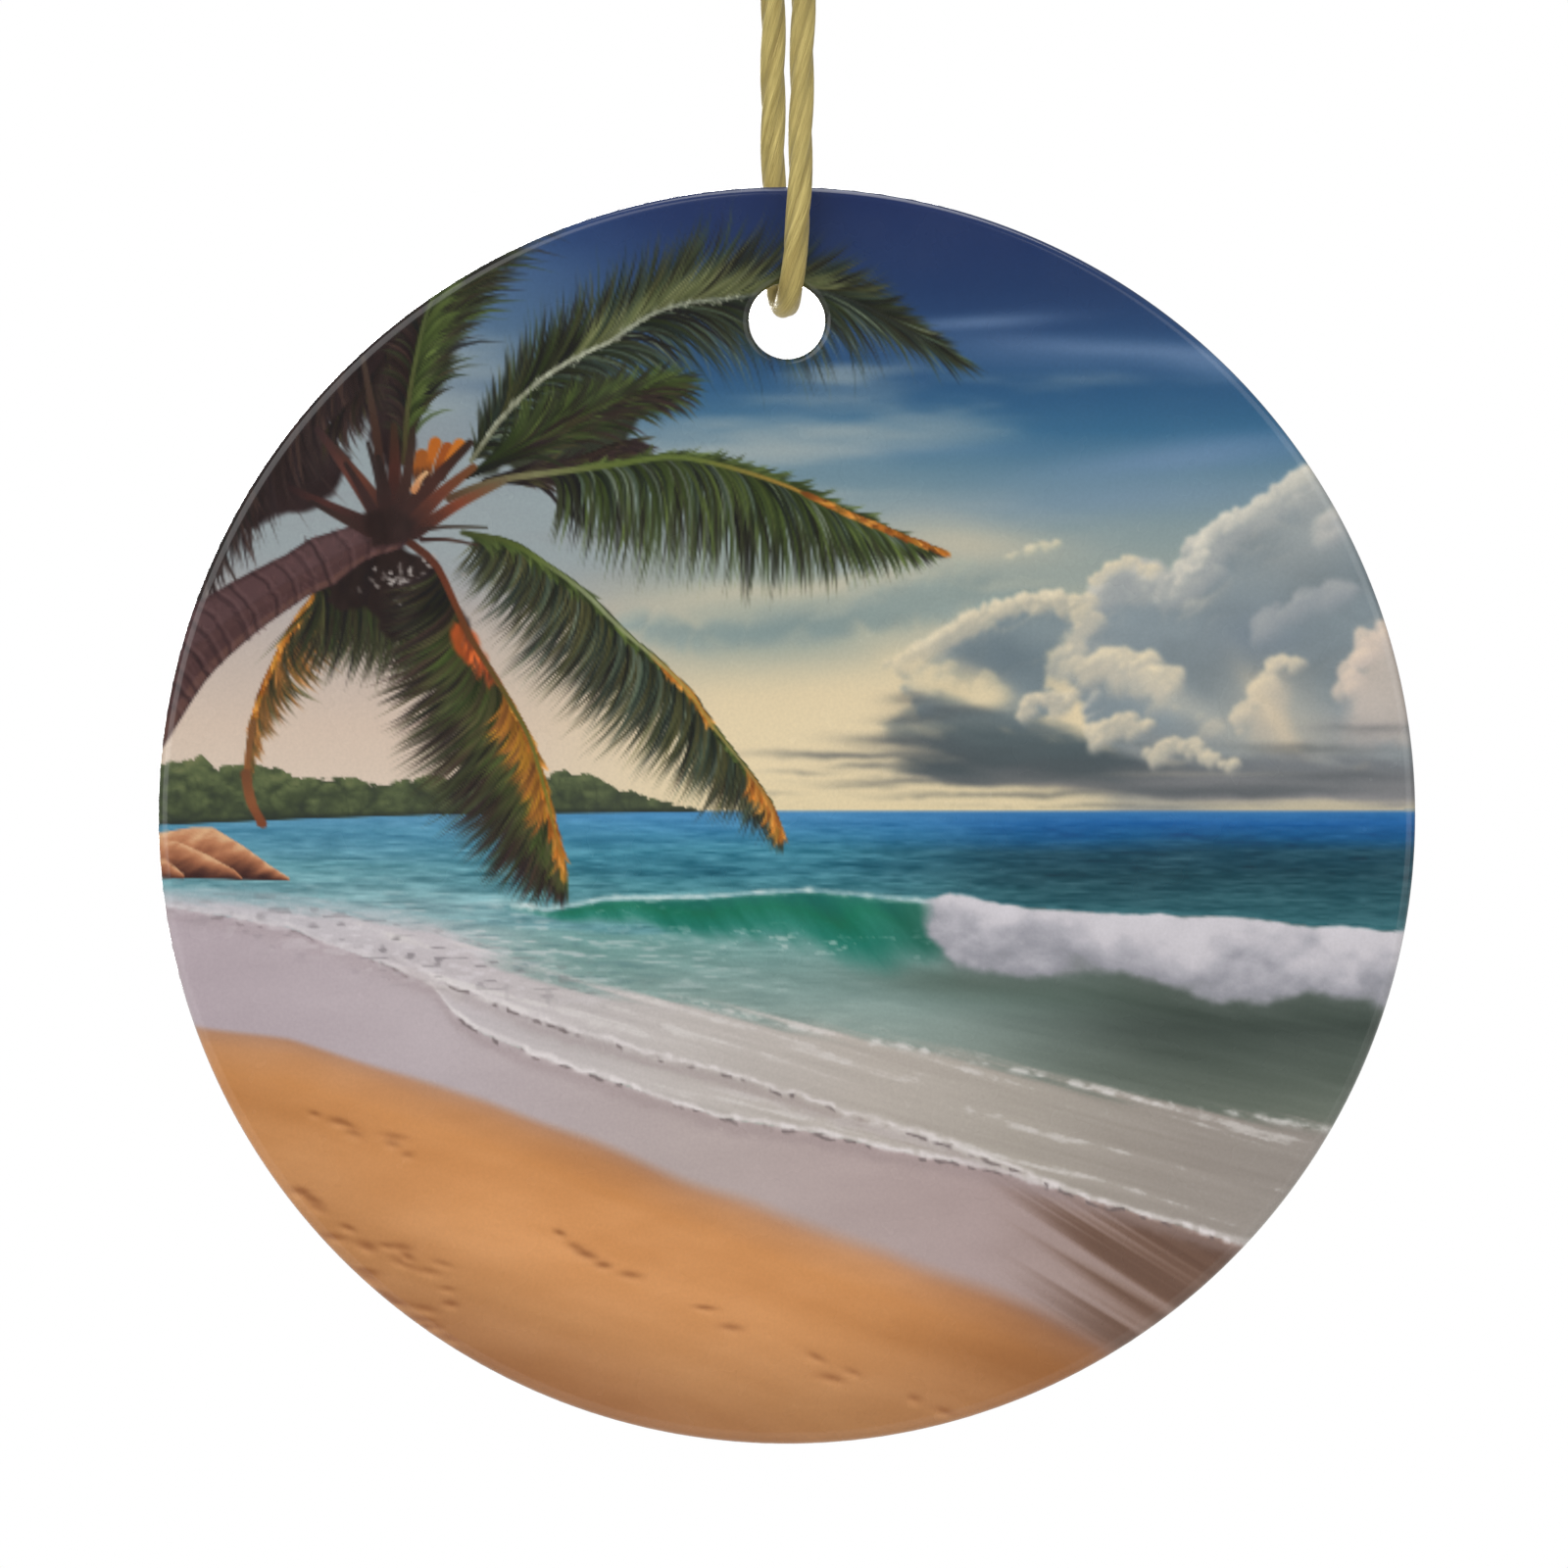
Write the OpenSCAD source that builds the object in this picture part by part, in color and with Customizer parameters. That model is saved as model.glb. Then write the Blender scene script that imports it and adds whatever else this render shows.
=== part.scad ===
// Round ceramic hanging ornament: a flat glazed disc with a printed front coating and a hole near its top,
// threaded on one length of metallic cord whose two ends are tied together in a knot above it.
// Origin: where the loop hangs, just under the knot. +Z is up and the printed face looks along -Y.

/* [Disc] */
// Diameter of the disc
disc_d = 73; // [66:1:80]
// Thickness of the disc, with its printed coating
disc_t = 3; // [2.4:0.1:3.2]
// Radius of the rounded rim
rim_r = 0.6; // [0.3:0.1:1]
// Thickness of the printed coating
coat_t = 0.15; // [0.1:0.05:0.25]

/* [Hanging hole] */
// Diameter of the hanging hole
hole_d = 4.4; // [4.2:0.1:5.4]
// Distance from the hole's centre up to the disc's top edge
hole_drop = 7.8; // [6.6:0.2:10]
// Radius of the rounding round each mouth of the hole
mouth_r = 0.4; // [0.3:0.05:0.5]

/* [Cord] */
// Diameter of the cord
cord_d = 1.5; // [1:0.1:1.5]
// Height of the hanging point above the hole's centre
hang_h = 68; // [50:1:74]

/* [Knot] */
// Diameter of the knot
knot_d = 4.8; // [4.4:0.1:5.6]
// Length of each tail, from the knot's centre
tail_l = 10; // [6:1:14]
// Angle between a tail and the vertical
tail_tilt = 24; // [16:1:40]

/* [Hidden] */

$fn = 96;
cut = 1;                                        // how far a cutting tool runs past the face it cuts
hole_z = -hang_h;                               // height of the hole's centre
disc_z = hole_z + hole_drop - disc_d / 2;       // height of the disc's centre
coat_back_y = rim_r - disc_t / 2;               // how far back the coating wraps round the rim

// The cord's route: [x, y, height above the hole's centre], from the knot down in front of the disc,
// through the hole and up behind it.
route = [
    [0.8, 0, 68],
    [0.8, -0.1, 67],
    [0.85, -0.6, 65],
    [0.9, -1, 62],
    [1, -1.4, 56],
    [1.1, -1.8, 46],
    [1.1, -2.2, 35],
    [1.05, -2.6, 24],
    [0.9, -2.8, 16],
    [0.8, -2.9, 10],
    [0.7, -3, 6.5],
    [0.5, -3, 4.3],
    [0.35, -2.7, 2.6],
    [0.2, -1.9, 1.6],
    [0.05, -1, 1.1],
    [-0.1, 0, 0.9],
    [-0.25, 1, 1.1],
    [-0.4, 1.9, 1.6],
    [-0.5, 2.7, 2.6],
    [-0.6, 3, 4.3],
    [-0.7, 3, 6.5],
    [-0.8, 2.9, 10],
    [-0.8, 2.8, 16],
    [-0.8, 2.6, 24],
    [-0.8, 2.2, 35],
    [-0.85, 1.8, 46],
    [-0.9, 1.4, 56],
    [-0.85, 1, 62],
    [-0.8, 0.6, 65],
    [-0.8, 0.1, 67],
    [-0.8, 0, 68],
];
bend_h = 10;                                    // below this height the route keeps its shape in any loop
route_h = route[0][2];                          // the loop height that the route is drawn for
route_steps = 2;                                // tube rings for each pair of route points
cord_sides = 8;
cap_angles = [30, 60];                          // latitudes of the rings on the cord's round ends

knot_z = knot_d / 2;                            // height of the knot's centre
strand_x = route[0][0];                         // where each strand enters the knot
socket_gap = 0.08;                              // clearance round the strands' round ends

// --- smooth tube along a route ---

function last(v) = v[len(v) - 1];
function unit(v) = v / norm(v);
function clamped(v, i) = v[min(max(i, 0), len(v) - 1)];

// A point at t between b and c on the smooth curve through a, b, c and d.
function between(a, b, c, d, t) =
    b + (c - a) * t / 2
    + (2 * a - 5 * b + 4 * c - d) * t * t / 2
    + (3 * b - a - 3 * c + d) * t * t * t / 2;

function smooth(v, steps) = [
    for (i = [0 : len(v) - 2])
        for (k = [0 : steps - 1])
            between(clamped(v, i - 1), v[i], v[i + 1], clamped(v, i + 2), k / steps),
    last(v),
];

function tangent(v, i) = unit(clamped(v, i + 1) - clamped(v, i - 1));

// A ring of points round centre c, square to direction t.
function ring(c, t, r, sides) =
    let (u = unit(cross(t, [1, 0, 0])), w = cross(t, u))
    [for (k = [0 : sides - 1]) c + r * (cos(360 * k / sides) * u + sin(360 * k / sides) * w)];

// The rings of a round end at c: way is 1 where the tube ends and -1 where it starts.
function cap_rings(c, t, r, sides, way) =
    let (a = way > 0 ? cap_angles : [for (k = [len(cap_angles) - 1 : -1 : 0]) cap_angles[k]])
    [for (x = a) ring(c + way * r * sin(x) * t, t, r * cos(x), sides)];

module tube(v, r, sides) {
    n = len(v);
    t0 = tangent(v, 0);
    t1 = tangent(v, n - 1);
    rings = concat(
        cap_rings(v[0], t0, r, sides, -1),
        [for (i = [0 : n - 1]) ring(v[i], tangent(v, i), r, sides)],
        cap_rings(v[n - 1], t1, r, sides, 1)
    );
    m = len(rings);
    start_tip = m * sides;
    end_tip = start_tip + 1;
    points = concat([for (a = rings) each a], [v[0] - r * t0, v[n - 1] + r * t1]);
    sides_faces = [
        for (i = [0 : m - 2])
            for (k = [0 : sides - 1])
                let (a = i * sides + k, b = i * sides + (k + 1) % sides)
                each [[a, b + sides, b], [a, a + sides, b + sides]]
    ];
    start_faces = [for (k = [0 : sides - 1]) [start_tip, k, (k + 1) % sides]];
    base = (m - 1) * sides;
    end_faces = [for (k = [0 : sides - 1]) [end_tip, base + (k + 1) % sides, base + k]];
    polyhedron(points, concat(sides_faces, start_faces, end_faces));
}

// Stretches the upper part of the route to the wanted loop height and puts its top at the origin.
function placed(p) = [
    p[0],
    p[1],
    (p[2] < bend_h ? p[2] : bend_h + (p[2] - bend_h) * (hang_h - bend_h) / (route_h - bend_h)) - hang_h
];

// --- the disc ---

// Stands a shape that was turned round Z up, so that its axis lies along Y.
module facing_front(z) {
    translate([0, 0, z]) rotate([90, 0, 0]) children();
}

// The disc's outline turned round Z, with every face moved inwards by inset.
module rounded_disc(inset) {
    corner_x = disc_d / 2 - rim_r;
    corner_y = disc_t / 2 - rim_r;
    half_t = disc_t / 2 - inset;
    round_r = rim_r - inset;
    rotate_extrude() {
        translate([0, -half_t]) square([corner_x, 2 * half_t]);
        translate([0, -corner_y]) square([disc_d / 2 - inset, 2 * corner_y]);
        intersection() {
            for (side = [-1, 1]) translate([corner_x, side * corner_y]) circle(round_r);
            translate([0, -half_t]) square([disc_d / 2, 2 * half_t]);
        }
    }
}

// The hole's cutting tool, which flares out over a rounded edge at each face. It grows by inset.
module hole_tool(inset) {
    corner_x = hole_d / 2 + mouth_r;
    corner_y = disc_t / 2 - mouth_r;
    cylinder(h = disc_t + 2 * cut, r = hole_d / 2 + inset, center = true);
    for (side = [0, 1]) {
        mirror([0, 0, side]) rotate_extrude() difference() {
            translate([0, corner_y]) square([corner_x, mouth_r + cut]);
            translate([corner_x, corner_y]) circle(mouth_r - inset);
        }
    }
}

module blank(inset = 0) {
    difference() {
        facing_front(disc_z) rounded_disc(inset);
        facing_front(hole_z) hole_tool(inset);
    }
}

module ceramic_disc() {
    color("ghostwhite") difference() {
        blank();
        coating_shape();
    }
}

// A skin over the front face that wraps round the rim and into the mouth of the hole.
module coating_shape() {
    size = disc_d + 2 * cut;
    difference() {
        intersection() {
            blank();
            translate([-size / 2, coat_back_y - size, disc_z - size / 2]) cube(size);
        }
        blank(coat_t);
    }
}

module print_coating() {
    color("steelblue") coating_shape();
}

// --- the cord and its knot ---

module hanging_cord() {
    path = smooth([for (p = route) placed(p)], route_steps);
    color("darkkhaki") tube(path, cord_d / 2, cord_sides);
}

module tail(side) {
    translate([0, 0, knot_z]) rotate([0, side * tail_tilt, 0]) {
        cylinder(h = tail_l, d = cord_d);
    }
}

module tied_knot() {
    color("goldenrod") difference() {
        union() {
            translate([0, 0, knot_z]) sphere(d = knot_d);
            tail(-1);
            tail(1);
        }
        for (side = [-1, 1]) {
            translate([side * strand_x, 0, 0]) sphere(r = cord_d / 2 + socket_gap);
        }
    }
}

ceramic_disc();
print_coating();
hanging_cord();
tied_knot();
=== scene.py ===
"""Looks of a round ceramic ornament with a printed beach picture, on a loop of gold cord."""

import math

import bmesh
import bpy
import numpy as np
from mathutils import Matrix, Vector
from mathutils.geometry import delaunay_2d_cdt
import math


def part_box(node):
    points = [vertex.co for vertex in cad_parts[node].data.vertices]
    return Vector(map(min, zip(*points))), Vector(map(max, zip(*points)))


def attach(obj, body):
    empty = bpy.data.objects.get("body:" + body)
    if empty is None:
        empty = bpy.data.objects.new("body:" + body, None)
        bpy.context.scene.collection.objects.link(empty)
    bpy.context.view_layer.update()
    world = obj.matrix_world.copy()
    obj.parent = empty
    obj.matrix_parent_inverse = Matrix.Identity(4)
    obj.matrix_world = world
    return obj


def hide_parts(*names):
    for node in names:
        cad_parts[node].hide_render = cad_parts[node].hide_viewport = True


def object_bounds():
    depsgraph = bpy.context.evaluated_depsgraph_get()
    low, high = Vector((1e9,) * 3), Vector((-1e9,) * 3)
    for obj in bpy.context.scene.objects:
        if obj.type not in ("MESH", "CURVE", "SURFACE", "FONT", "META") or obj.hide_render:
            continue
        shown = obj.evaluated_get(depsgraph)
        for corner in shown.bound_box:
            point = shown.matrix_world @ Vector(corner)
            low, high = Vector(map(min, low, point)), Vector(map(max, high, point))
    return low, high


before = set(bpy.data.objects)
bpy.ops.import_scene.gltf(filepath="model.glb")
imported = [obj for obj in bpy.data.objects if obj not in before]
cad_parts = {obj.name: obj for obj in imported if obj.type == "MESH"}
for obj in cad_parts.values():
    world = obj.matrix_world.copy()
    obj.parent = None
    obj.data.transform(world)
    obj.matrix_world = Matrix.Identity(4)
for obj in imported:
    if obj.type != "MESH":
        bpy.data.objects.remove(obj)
CAD_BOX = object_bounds()

MM = 0.001

PITCH = 0.12          # mm between canvas points
STEPS = 308            # canvas points from the picture's centre to its edge
HALF = STEPS * PITCH
SIDE = 2 * STEPS + 1
U, V = np.meshgrid(PITCH * np.arange(-STEPS, STEPS + 1), PITCH * np.arange(STEPS, -STEPS - 1, -1))


def smoothstep(low, high, x):
    t = np.clip((x - low) / (high - low), 0, 1)
    return t * t * (3 - 2 * t)


def noise(u, v, size_u, size_v, seed):
    """Smooth random values from -1 to 1, whose blobs measure size_u by size_v mm."""
    cells = np.random.default_rng(seed).uniform(-1, 1, (64, 64))
    x, y = u / size_u + 32.3, v / size_v + 32.7
    i, j = np.floor(x).astype(int), np.floor(y).astype(int)
    fx, fy = x - i, y - j
    fx, fy = fx * fx * (3 - 2 * fx), fy * fy * (3 - 2 * fy)
    i, j, i1, j1 = i % 64, j % 64, (i + 1) % 64, (j + 1) % 64
    low = cells[i, j] * (1 - fx) + cells[i1, j] * fx
    high = cells[i, j1] * (1 - fx) + cells[i1, j1] * fx
    return low * (1 - fy) + high * fy


def fractal(u, v, size_u, size_v, seed, octaves=4):
    total = sum(noise(u, v, size_u / 2**k, size_v / 2**k, seed + k) / 2**k for k in range(octaves))
    return total / (2 - 2 ** (1 - octaves))


def ramp(x, stops):
    """Colours along x, from {position: colour} stops."""
    at = sorted(stops)
    return np.stack([np.interp(x, at, [stops[a][c] for a in at]) for c in range(3)], axis=-1)


def lay(picture, cover, colour):
    """Paints colour over the picture where cover is 1."""
    picture += cover[..., None] * (np.asarray(colour, float) - picture)


def line(points, x):
    at, heights = zip(*points)
    return np.interp(x, at, heights)


def blob(u, v, at, size, turn=0.0):
    """Distance from a blob's middle, 1 on its outline."""
    c, s = np.cos(np.radians(turn)), np.sin(np.radians(turn))
    x, y = u - at[0], v - at[1]
    return np.hypot((c * x + s * y) / size[0], (c * y - s * x) / size[1])


def window(low_u, high_u, low_v, high_v):
    """The canvas rows and columns that cover a box."""
    columns = slice(max(int((low_u + HALF) / PITCH), 0), int((high_u + HALF) / PITCH) + 2)
    rows = slice(max(int((HALF - high_v) / PITCH), 0), int((HALF - low_v) / PITCH) + 2)
    return rows, columns


def depth_inside(outline, u, v):
    """Distance in from a closed outline, negative outside it."""
    inside = np.zeros(u.shape, bool)
    nearest = np.full(u.shape, 99.0)
    for a, b in zip(outline, np.roll(outline, -1, axis=0)):
        cross = (a[1] > v) != (b[1] > v)
        inside ^= cross & (u < (b[0] - a[0]) * (v - a[1]) / (b[1] - a[1] + 1e-9) + a[0])
        along = b - a
        t = np.clip(((u - a[0]) * along[0] + (v - a[1]) * along[1]) / (along @ along), 0, 1)
        nearest = np.minimum(nearest, np.hypot(u - a[0] - t * along[0], v - a[1] - t * along[1]))
    return np.where(inside, nearest, -nearest)


def billow(u, v, size, seed, octaves=4):
    """Rounded heaps with creases between them, from 0 to 1."""
    total = np.zeros(u.shape)
    for k in range(octaves):
        turn = 0.6 + 1.1 * k
        x = (math.cos(turn) * u + math.sin(turn) * v) / 1.0
        y = math.cos(turn) * v - math.sin(turn) * u
        heap = np.minimum(np.abs(noise(x, y, size / 2**k, size / 2**k, seed + k)) * 2.2, 1)
        total += (1 - (1 - heap) ** 2) / 2**k
    return total / (2 - 2 ** (1 - octaves))


HORIZON = 0.25


def sky():
    """The evening sky: deep blue above, cream at the horizon, greyer to the left, with wisps."""
    drift = 1.2 * fractal(U, V, 22, 6, 11)
    height = V + drift
    right = ramp(height, {0: (222, 205, 166), 3: (229, 211, 174), 7: (224, 206, 170), 10.5: (196, 190, 166),
                          14: (152, 162, 155), 17: (134, 152, 155), 20: (100, 132, 150), 22.5: (58, 104, 138),
                          25: (48, 88, 126), 28: (44, 74, 114), 31: (38, 60, 100), 36: (37, 50, 92)})
    left = ramp(height, {0: (216, 201, 184), 5: (206, 188, 172), 10: (186, 173, 165), 14: (158, 154, 156),
                         18: (146, 148, 152), 23: (132, 142, 150), 28: (92, 118, 142), 31.5: (78, 108, 145),
                         34: (44, 72, 120), 36: (36, 56, 110)})
    side = smoothstep(-22, -2, U + 0.5 * drift)[..., None]
    picture = left * (1 - side) + right * side
    # pale wisps that thicken downwards and to the left
    wisp = fractal(U + 0.15 * V, V, 16, 2.4, 21, 5)
    bias = np.interp(V, [12, 18, 22, 25, 29, 33], [0.0, 0.1, 0.12, -0.08, -0.5, -1.0]) - 0.016 * (U - 4)
    deep = 0.7 * np.exp(-blob(U, V, (13, 20.6), (7, 2.2), 10) ** 2)
    lay(picture, (0.75 - deep) * smoothstep(-0.15, 0.5, wisp + bias) * smoothstep(11, 16, V), (150, 163, 166))
    # long thin cirrus streaks high on the right
    for at, size, turn, strength in (
        ((11, 28.6), (4.6, 0.42), 3, 0.5), ((19, 27.0), (6.5, 0.5), -4, 0.4), ((15, 26.8), (9, 1.0), -3, 0.25),
        ((25, 26.2), (4, 0.8), -10, 0.45), ((23.5, 20.8), (8, 0.9), 7, 0.5), ((9, 21.2), (6, 0.5), 1, 0.15),
        ((20, 18.4), (9, 1.0), 3, 0.3),
    ):
        lay(picture, strength * np.exp(-blob(U, V + 0.3 * wisp, at, size, turn) ** 2), (126, 150, 184))
    lay(picture, 0.75 * smoothstep(-0.7, 0.3, wisp) * np.exp(-blob(U, V, (-1.5, 21), (6.5, 2.8), 2) ** 2), (158, 169, 169))
    # warm glow above the sea
    lay(picture, 0.55 * np.exp(-blob(U, V + 0.6 * drift, (10, 16.2), (6, 1.2), -4) ** 2), (222, 203, 170))
    lay(picture, 0.35 * np.exp(-blob(U, V, (-26, 4), (14, 5)) ** 2), (214, 190, 172))
    return picture


def fringe(picture, points, radius, count, seed, lit, shade, spread=0.35, strength=0.95):
    """Rounded heads heaped along a cloud's sunny edge, large ones first; each fades into the cloud's shade."""
    rng = np.random.default_rng(seed)
    points = np.asarray(points, float)
    run = np.concatenate([[0], np.cumsum(np.hypot(*np.diff(points, axis=0).T))])
    sizes = np.sort(radius * (0.32 + 0.8 * rng.uniform(0, 1, int(0.5 * count)) ** 1.5))[::-1]
    for r in sizes:
        t = rng.uniform(0, run[-1])
        at = np.array([np.interp(t, run, points[:, 0]), np.interp(t, run, points[:, 1])])
        at += rng.normal(0, 0.7 * spread, 2) * (1, 0.7) + np.array((0.55, -0.83)) * r * 0.75
        rows, columns = window(at[0] - 1.5 * r, at[0] + 1.5 * r, at[1] - 1.5 * r, at[1] + 1.5 * r)
        u, v = U[rows, columns] - at[0], V[rows, columns] - at[1]
        wobble = 0.22 * noise(u + at[0], v + at[1], r * 0.8, r * 0.8, seed) + 0.1 * noise(u + at[0], v + at[1], r * 0.35, r * 0.35, seed + 1)
        d = np.hypot(u, v) / r + wobble
        facing = (0.83 * v - 0.55 * u) / r
        tone = smoothstep(-0.35, 1.0, facing + 0.25 * wobble) * rng.uniform(0.7, 1.0)
        cover = strength * (1 - smoothstep(0.72, 1.0, d)) * smoothstep(-0.7, 0.45, facing)
        part = picture[rows, columns]
        colour = np.asarray(shade, float) + tone[..., None] * (np.asarray(lit, float) - shade)
        part += cover[..., None] * (colour - part)


def cloud(picture, outline, lit, body, seed, relief=0.5, size=2.4, rough=0.7, edge=0.35, haze=1.0, roll=1.1):
    """A heaped cloud inside an outline, a little lighter where it faces the upper left."""
    p = np.asarray(outline, float)
    rows, columns = window(p[:, 0].min() - 1.5, p[:, 0].max() + 1.5, p[:, 1].min() - 1.5, p[:, 1].max() + 1.5)
    u, v = U[rows, columns], V[rows, columns]
    wave_u = u + 0.4 * fractal(u, v, 3, 3, seed + 20, 3)
    wave_v = v + 0.4 * fractal(u, v, 3, 3, seed + 24, 3)
    heaps = billow(wave_u, wave_v, size, seed, 3)
    depth = depth_inside(p, wave_u, wave_v) + rough * (heaps - 0.7)
    inner = np.maximum(depth, 0)
    height = 1.3 * roll * (1 - np.exp(-inner / roll)) + relief * heaps * (0.3 + 0.7 * np.exp(-inner / 1.6))
    down, across = np.gradient(height, PITCH)
    facing = 0.62 * across + 0.78 * down
    tone = smoothstep(-0.1, 1.3, facing) * np.interp(inner, [0, 0.6, 2.2, 6], [0.9, 0.75, 0.5, 0.35])
    soft = fractal(u, v, 4.5, 2.6, seed + 30, 4)
    colour = np.asarray(body, float) * (1 + 0.05 * (heaps[..., None] - 0.7) + 0.09 * soft[..., None])
    colour = colour + tone[..., None] * (np.asarray(lit, float) - colour)
    cover = haze * smoothstep(0, edge, depth)
    part = picture[rows, columns]
    part += cover[..., None] * (colour - part)


def flat_cloud(picture):
    """The soft grey-green cloud in the middle of the sky."""
    cloud(picture, [(-9, 12.2), (-5, 12.2), (-1, 12.8), (3, 13.1), (5.5, 14.4), (9, 14.8), (12, 15), (15.5, 14.6), (18, 13),
                    (16, 11.4), (9, 10.8), (5, 10.2), (1, 9.5), (-3, 9), (-8, 9.6), (-13, 11)],
          (172, 176, 164), (144, 158, 154), 31, 0.3, 4.5, 1.2, 1.4, 0.95, 2.0)
    rough = fractal(U, V, 5, 2.2, 35)
    lay(picture, 0.6 * np.exp(-blob(U, V + 0.5 * rough, (-1, 10.2), (7, 1.8), 6) ** 2), (126, 147, 148))
    lay(picture, 0.6 * np.exp(-blob(U, V + 0.5 * rough, (4.5, 13.6), (5.5, 0.7), 10) ** 2), (208, 198, 172))
    lay(picture, 0.5 * np.exp(-blob(U, V + 0.5 * rough, (-2.5, 13), (5, 0.6), 3) ** 2), (208, 196, 170))
    fringe(picture, [(3, 13.1), (5.6, 14.6), (8, 15), (10.5, 14.9)], 0.8, 26, 36, (196, 194, 172), (152, 164, 158), 0.3, 0.6)
    fringe(picture, [(12.4, 14.4), (13.2, 15.3), (14.2, 15.7), (16, 16)], 0.42, 40, 37, (232, 218, 186), (186, 186, 166), 0.2)


def cumulus(picture):
    """The big towering cloud on the right, its lit heads and folds."""
    cream, white, grey = (238, 222, 188), (228, 220, 202), (126, 138, 144)
    rough = fractal(U, V, 3.2, 2.4, 43, 4)
    cloud(picture, [(18, 13.6), (19.6, 14.4), (20.8, 13.9), (22.8, 13.2), (24, 15.2), (24.6, 16.4), (26.3, 17.1), (28, 18),
                    (30.5, 19.9), (34, 21.2), (37, 20), (37, 2.4), (20, 2.6), (17, 5.8),
                    (16.7, 7.6), (15.9, 8.9), (16.8, 10.6), (17.2, 12.2)], (196, 192, 180), grey, 42, 0.4, 3.2, 0.9, 0.5)
    fringe(picture, [(17.6, 13.3), (18.8, 14.2), (20, 14.7), (21, 14), (22.6, 13.4), (23.6, 14.8), (24.2, 16.3), (25.2, 17),
                     (26.6, 17.6), (28, 18.4), (29.4, 19.4), (30.8, 20.4), (33, 21.4)], 1.5, 230, 51, white, (152, 158, 160), 0.3)
    fringe(picture, [(17.4, 13.4), (18.6, 14.5), (19.8, 15), (21, 14.3)], 0.6, 60, 52, cream, (188, 184, 170), 0.2)
    fringe(picture, [(23.6, 14.9), (24.2, 16.6), (25.2, 17.3), (26.6, 17.9), (28, 18.7), (29.4, 19.7), (31.6, 21)],
           0.6, 110, 53, (232, 224, 206), (186, 186, 178), 0.2)
    inside = smoothstep(17, 19, U) * smoothstep(2.5, 5, V)
    lay(picture, 0.5 * inside * np.exp(-blob(U, V + 0.6 * rough, (31.8, 17.4), (5, 2.2), 36) ** 2), (182, 183, 178))
    lay(picture, 0.5 * inside * np.exp(-blob(U, V + 0.6 * rough, (27.4, 10.4), (2.6, 1.5)) ** 2), (116, 131, 147))
    fringe(picture, [(27.4, 11.2), (29, 12.4), (31, 13), (33, 13.4)], 1.3, 50, 54, (172, 174, 174), (142, 150, 156), 0.5, 0.55)
    fringe(picture, [(30.6, 16.2), (32, 17.6), (33.4, 18.6)], 1.2, 40, 55, (206, 202, 192), (158, 162, 164), 0.5, 0.6)
    # pinkish cloud at the edge
    cloud(picture, [(32.4, 7.2), (33, 9), (33.8, 10.2), (34.8, 11.2), (37, 12), (37, 3), (32, 4)],
          (216, 200, 184), (194, 182, 172), 41, 0.5, 2.2, 0.8, 1.3, 0.9)
    fringe(picture, [(32.4, 7.6), (33, 9.2), (34, 10.6), (35.4, 11.8)], 1.1, 60, 56, (232, 212, 190), (200, 186, 176), 0.4, 0.8)
    # the tower's lit left side and the shoulder below it
    fringe(picture, [(17.3, 12.8), (17, 11.6), (16.5, 10.6), (15.8, 9.4), (16.2, 8.4)], 1.0, 110, 57, cream, (176, 174, 164), 0.35)
    fringe(picture, [(16.2, 9), (17.6, 9.1), (19.2, 9.4), (20.8, 8.8), (22.2, 7.6)], 1.25, 80, 58, cream, (178, 174, 162), 0.3)
    fringe(picture, [(17, 7.8), (19, 8), (21.4, 7), (23.4, 5.8), (25, 5)], 1.0, 50, 59, (206, 196, 174), (158, 160, 156), 0.5, 0.45)
    # near tower
    cloud(picture, [(6.4, 8.9), (8, 9.8), (9.4, 10.5), (11.3, 11.5), (13.2, 11.9), (14.4, 12.3), (16.3, 12.1), (16.6, 11),
                    (15.6, 9.4), (15.4, 8), (16.4, 7), (14, 5), (8, 5.4), (6.4, 7.4)], (190, 186, 168), (122, 136, 142), 45,
          0.4, 1.8, 0.9, 0.5, 1.0, 0.5)
    lay(picture, 0.8 * np.exp(-blob(U, V + 0.7 * rough, (12.9, 9), (2.7, 1.2), -16) ** 2), (106, 121, 129))
    lay(picture, 0.6 * np.exp(-blob(U, V + 0.7 * rough, (14.6, 10.6), (1.5, 0.9)) ** 2), (130, 145, 150))
    fringe(picture, [(6, 8.9), (7.4, 9.8), (9, 10.6), (10.4, 11.4), (12, 12.1), (14, 12.6), (15.6, 12.7), (16.8, 12.3)],
           0.85, 210, 60, cream, (170, 168, 156), 0.25)
    fringe(picture, [(7, 9.6), (9, 10.8), (10.4, 11.7), (12, 12.4), (14, 12.9), (16, 12.9)], 0.4, 110, 61, (240, 226, 196), (206, 196, 172), 0.15)
    mist = smoothstep(-0.5, 0.5, fractal(U, V, 3.6, 1.6, 46))
    lay(picture, (0.5 + 0.4 * mist) * np.exp(-blob(U, V, (9.6, 7.7), (4.0, 1.3), -20) ** 4), (228, 208, 168))
    fringe(picture, [(6.6, 8.4), (8.4, 8.4), (10.4, 7.4), (12.4, 6.6)], 1.1, 40, 62, (232, 214, 176), (212, 198, 166), 0.7, 0.45)
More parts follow.
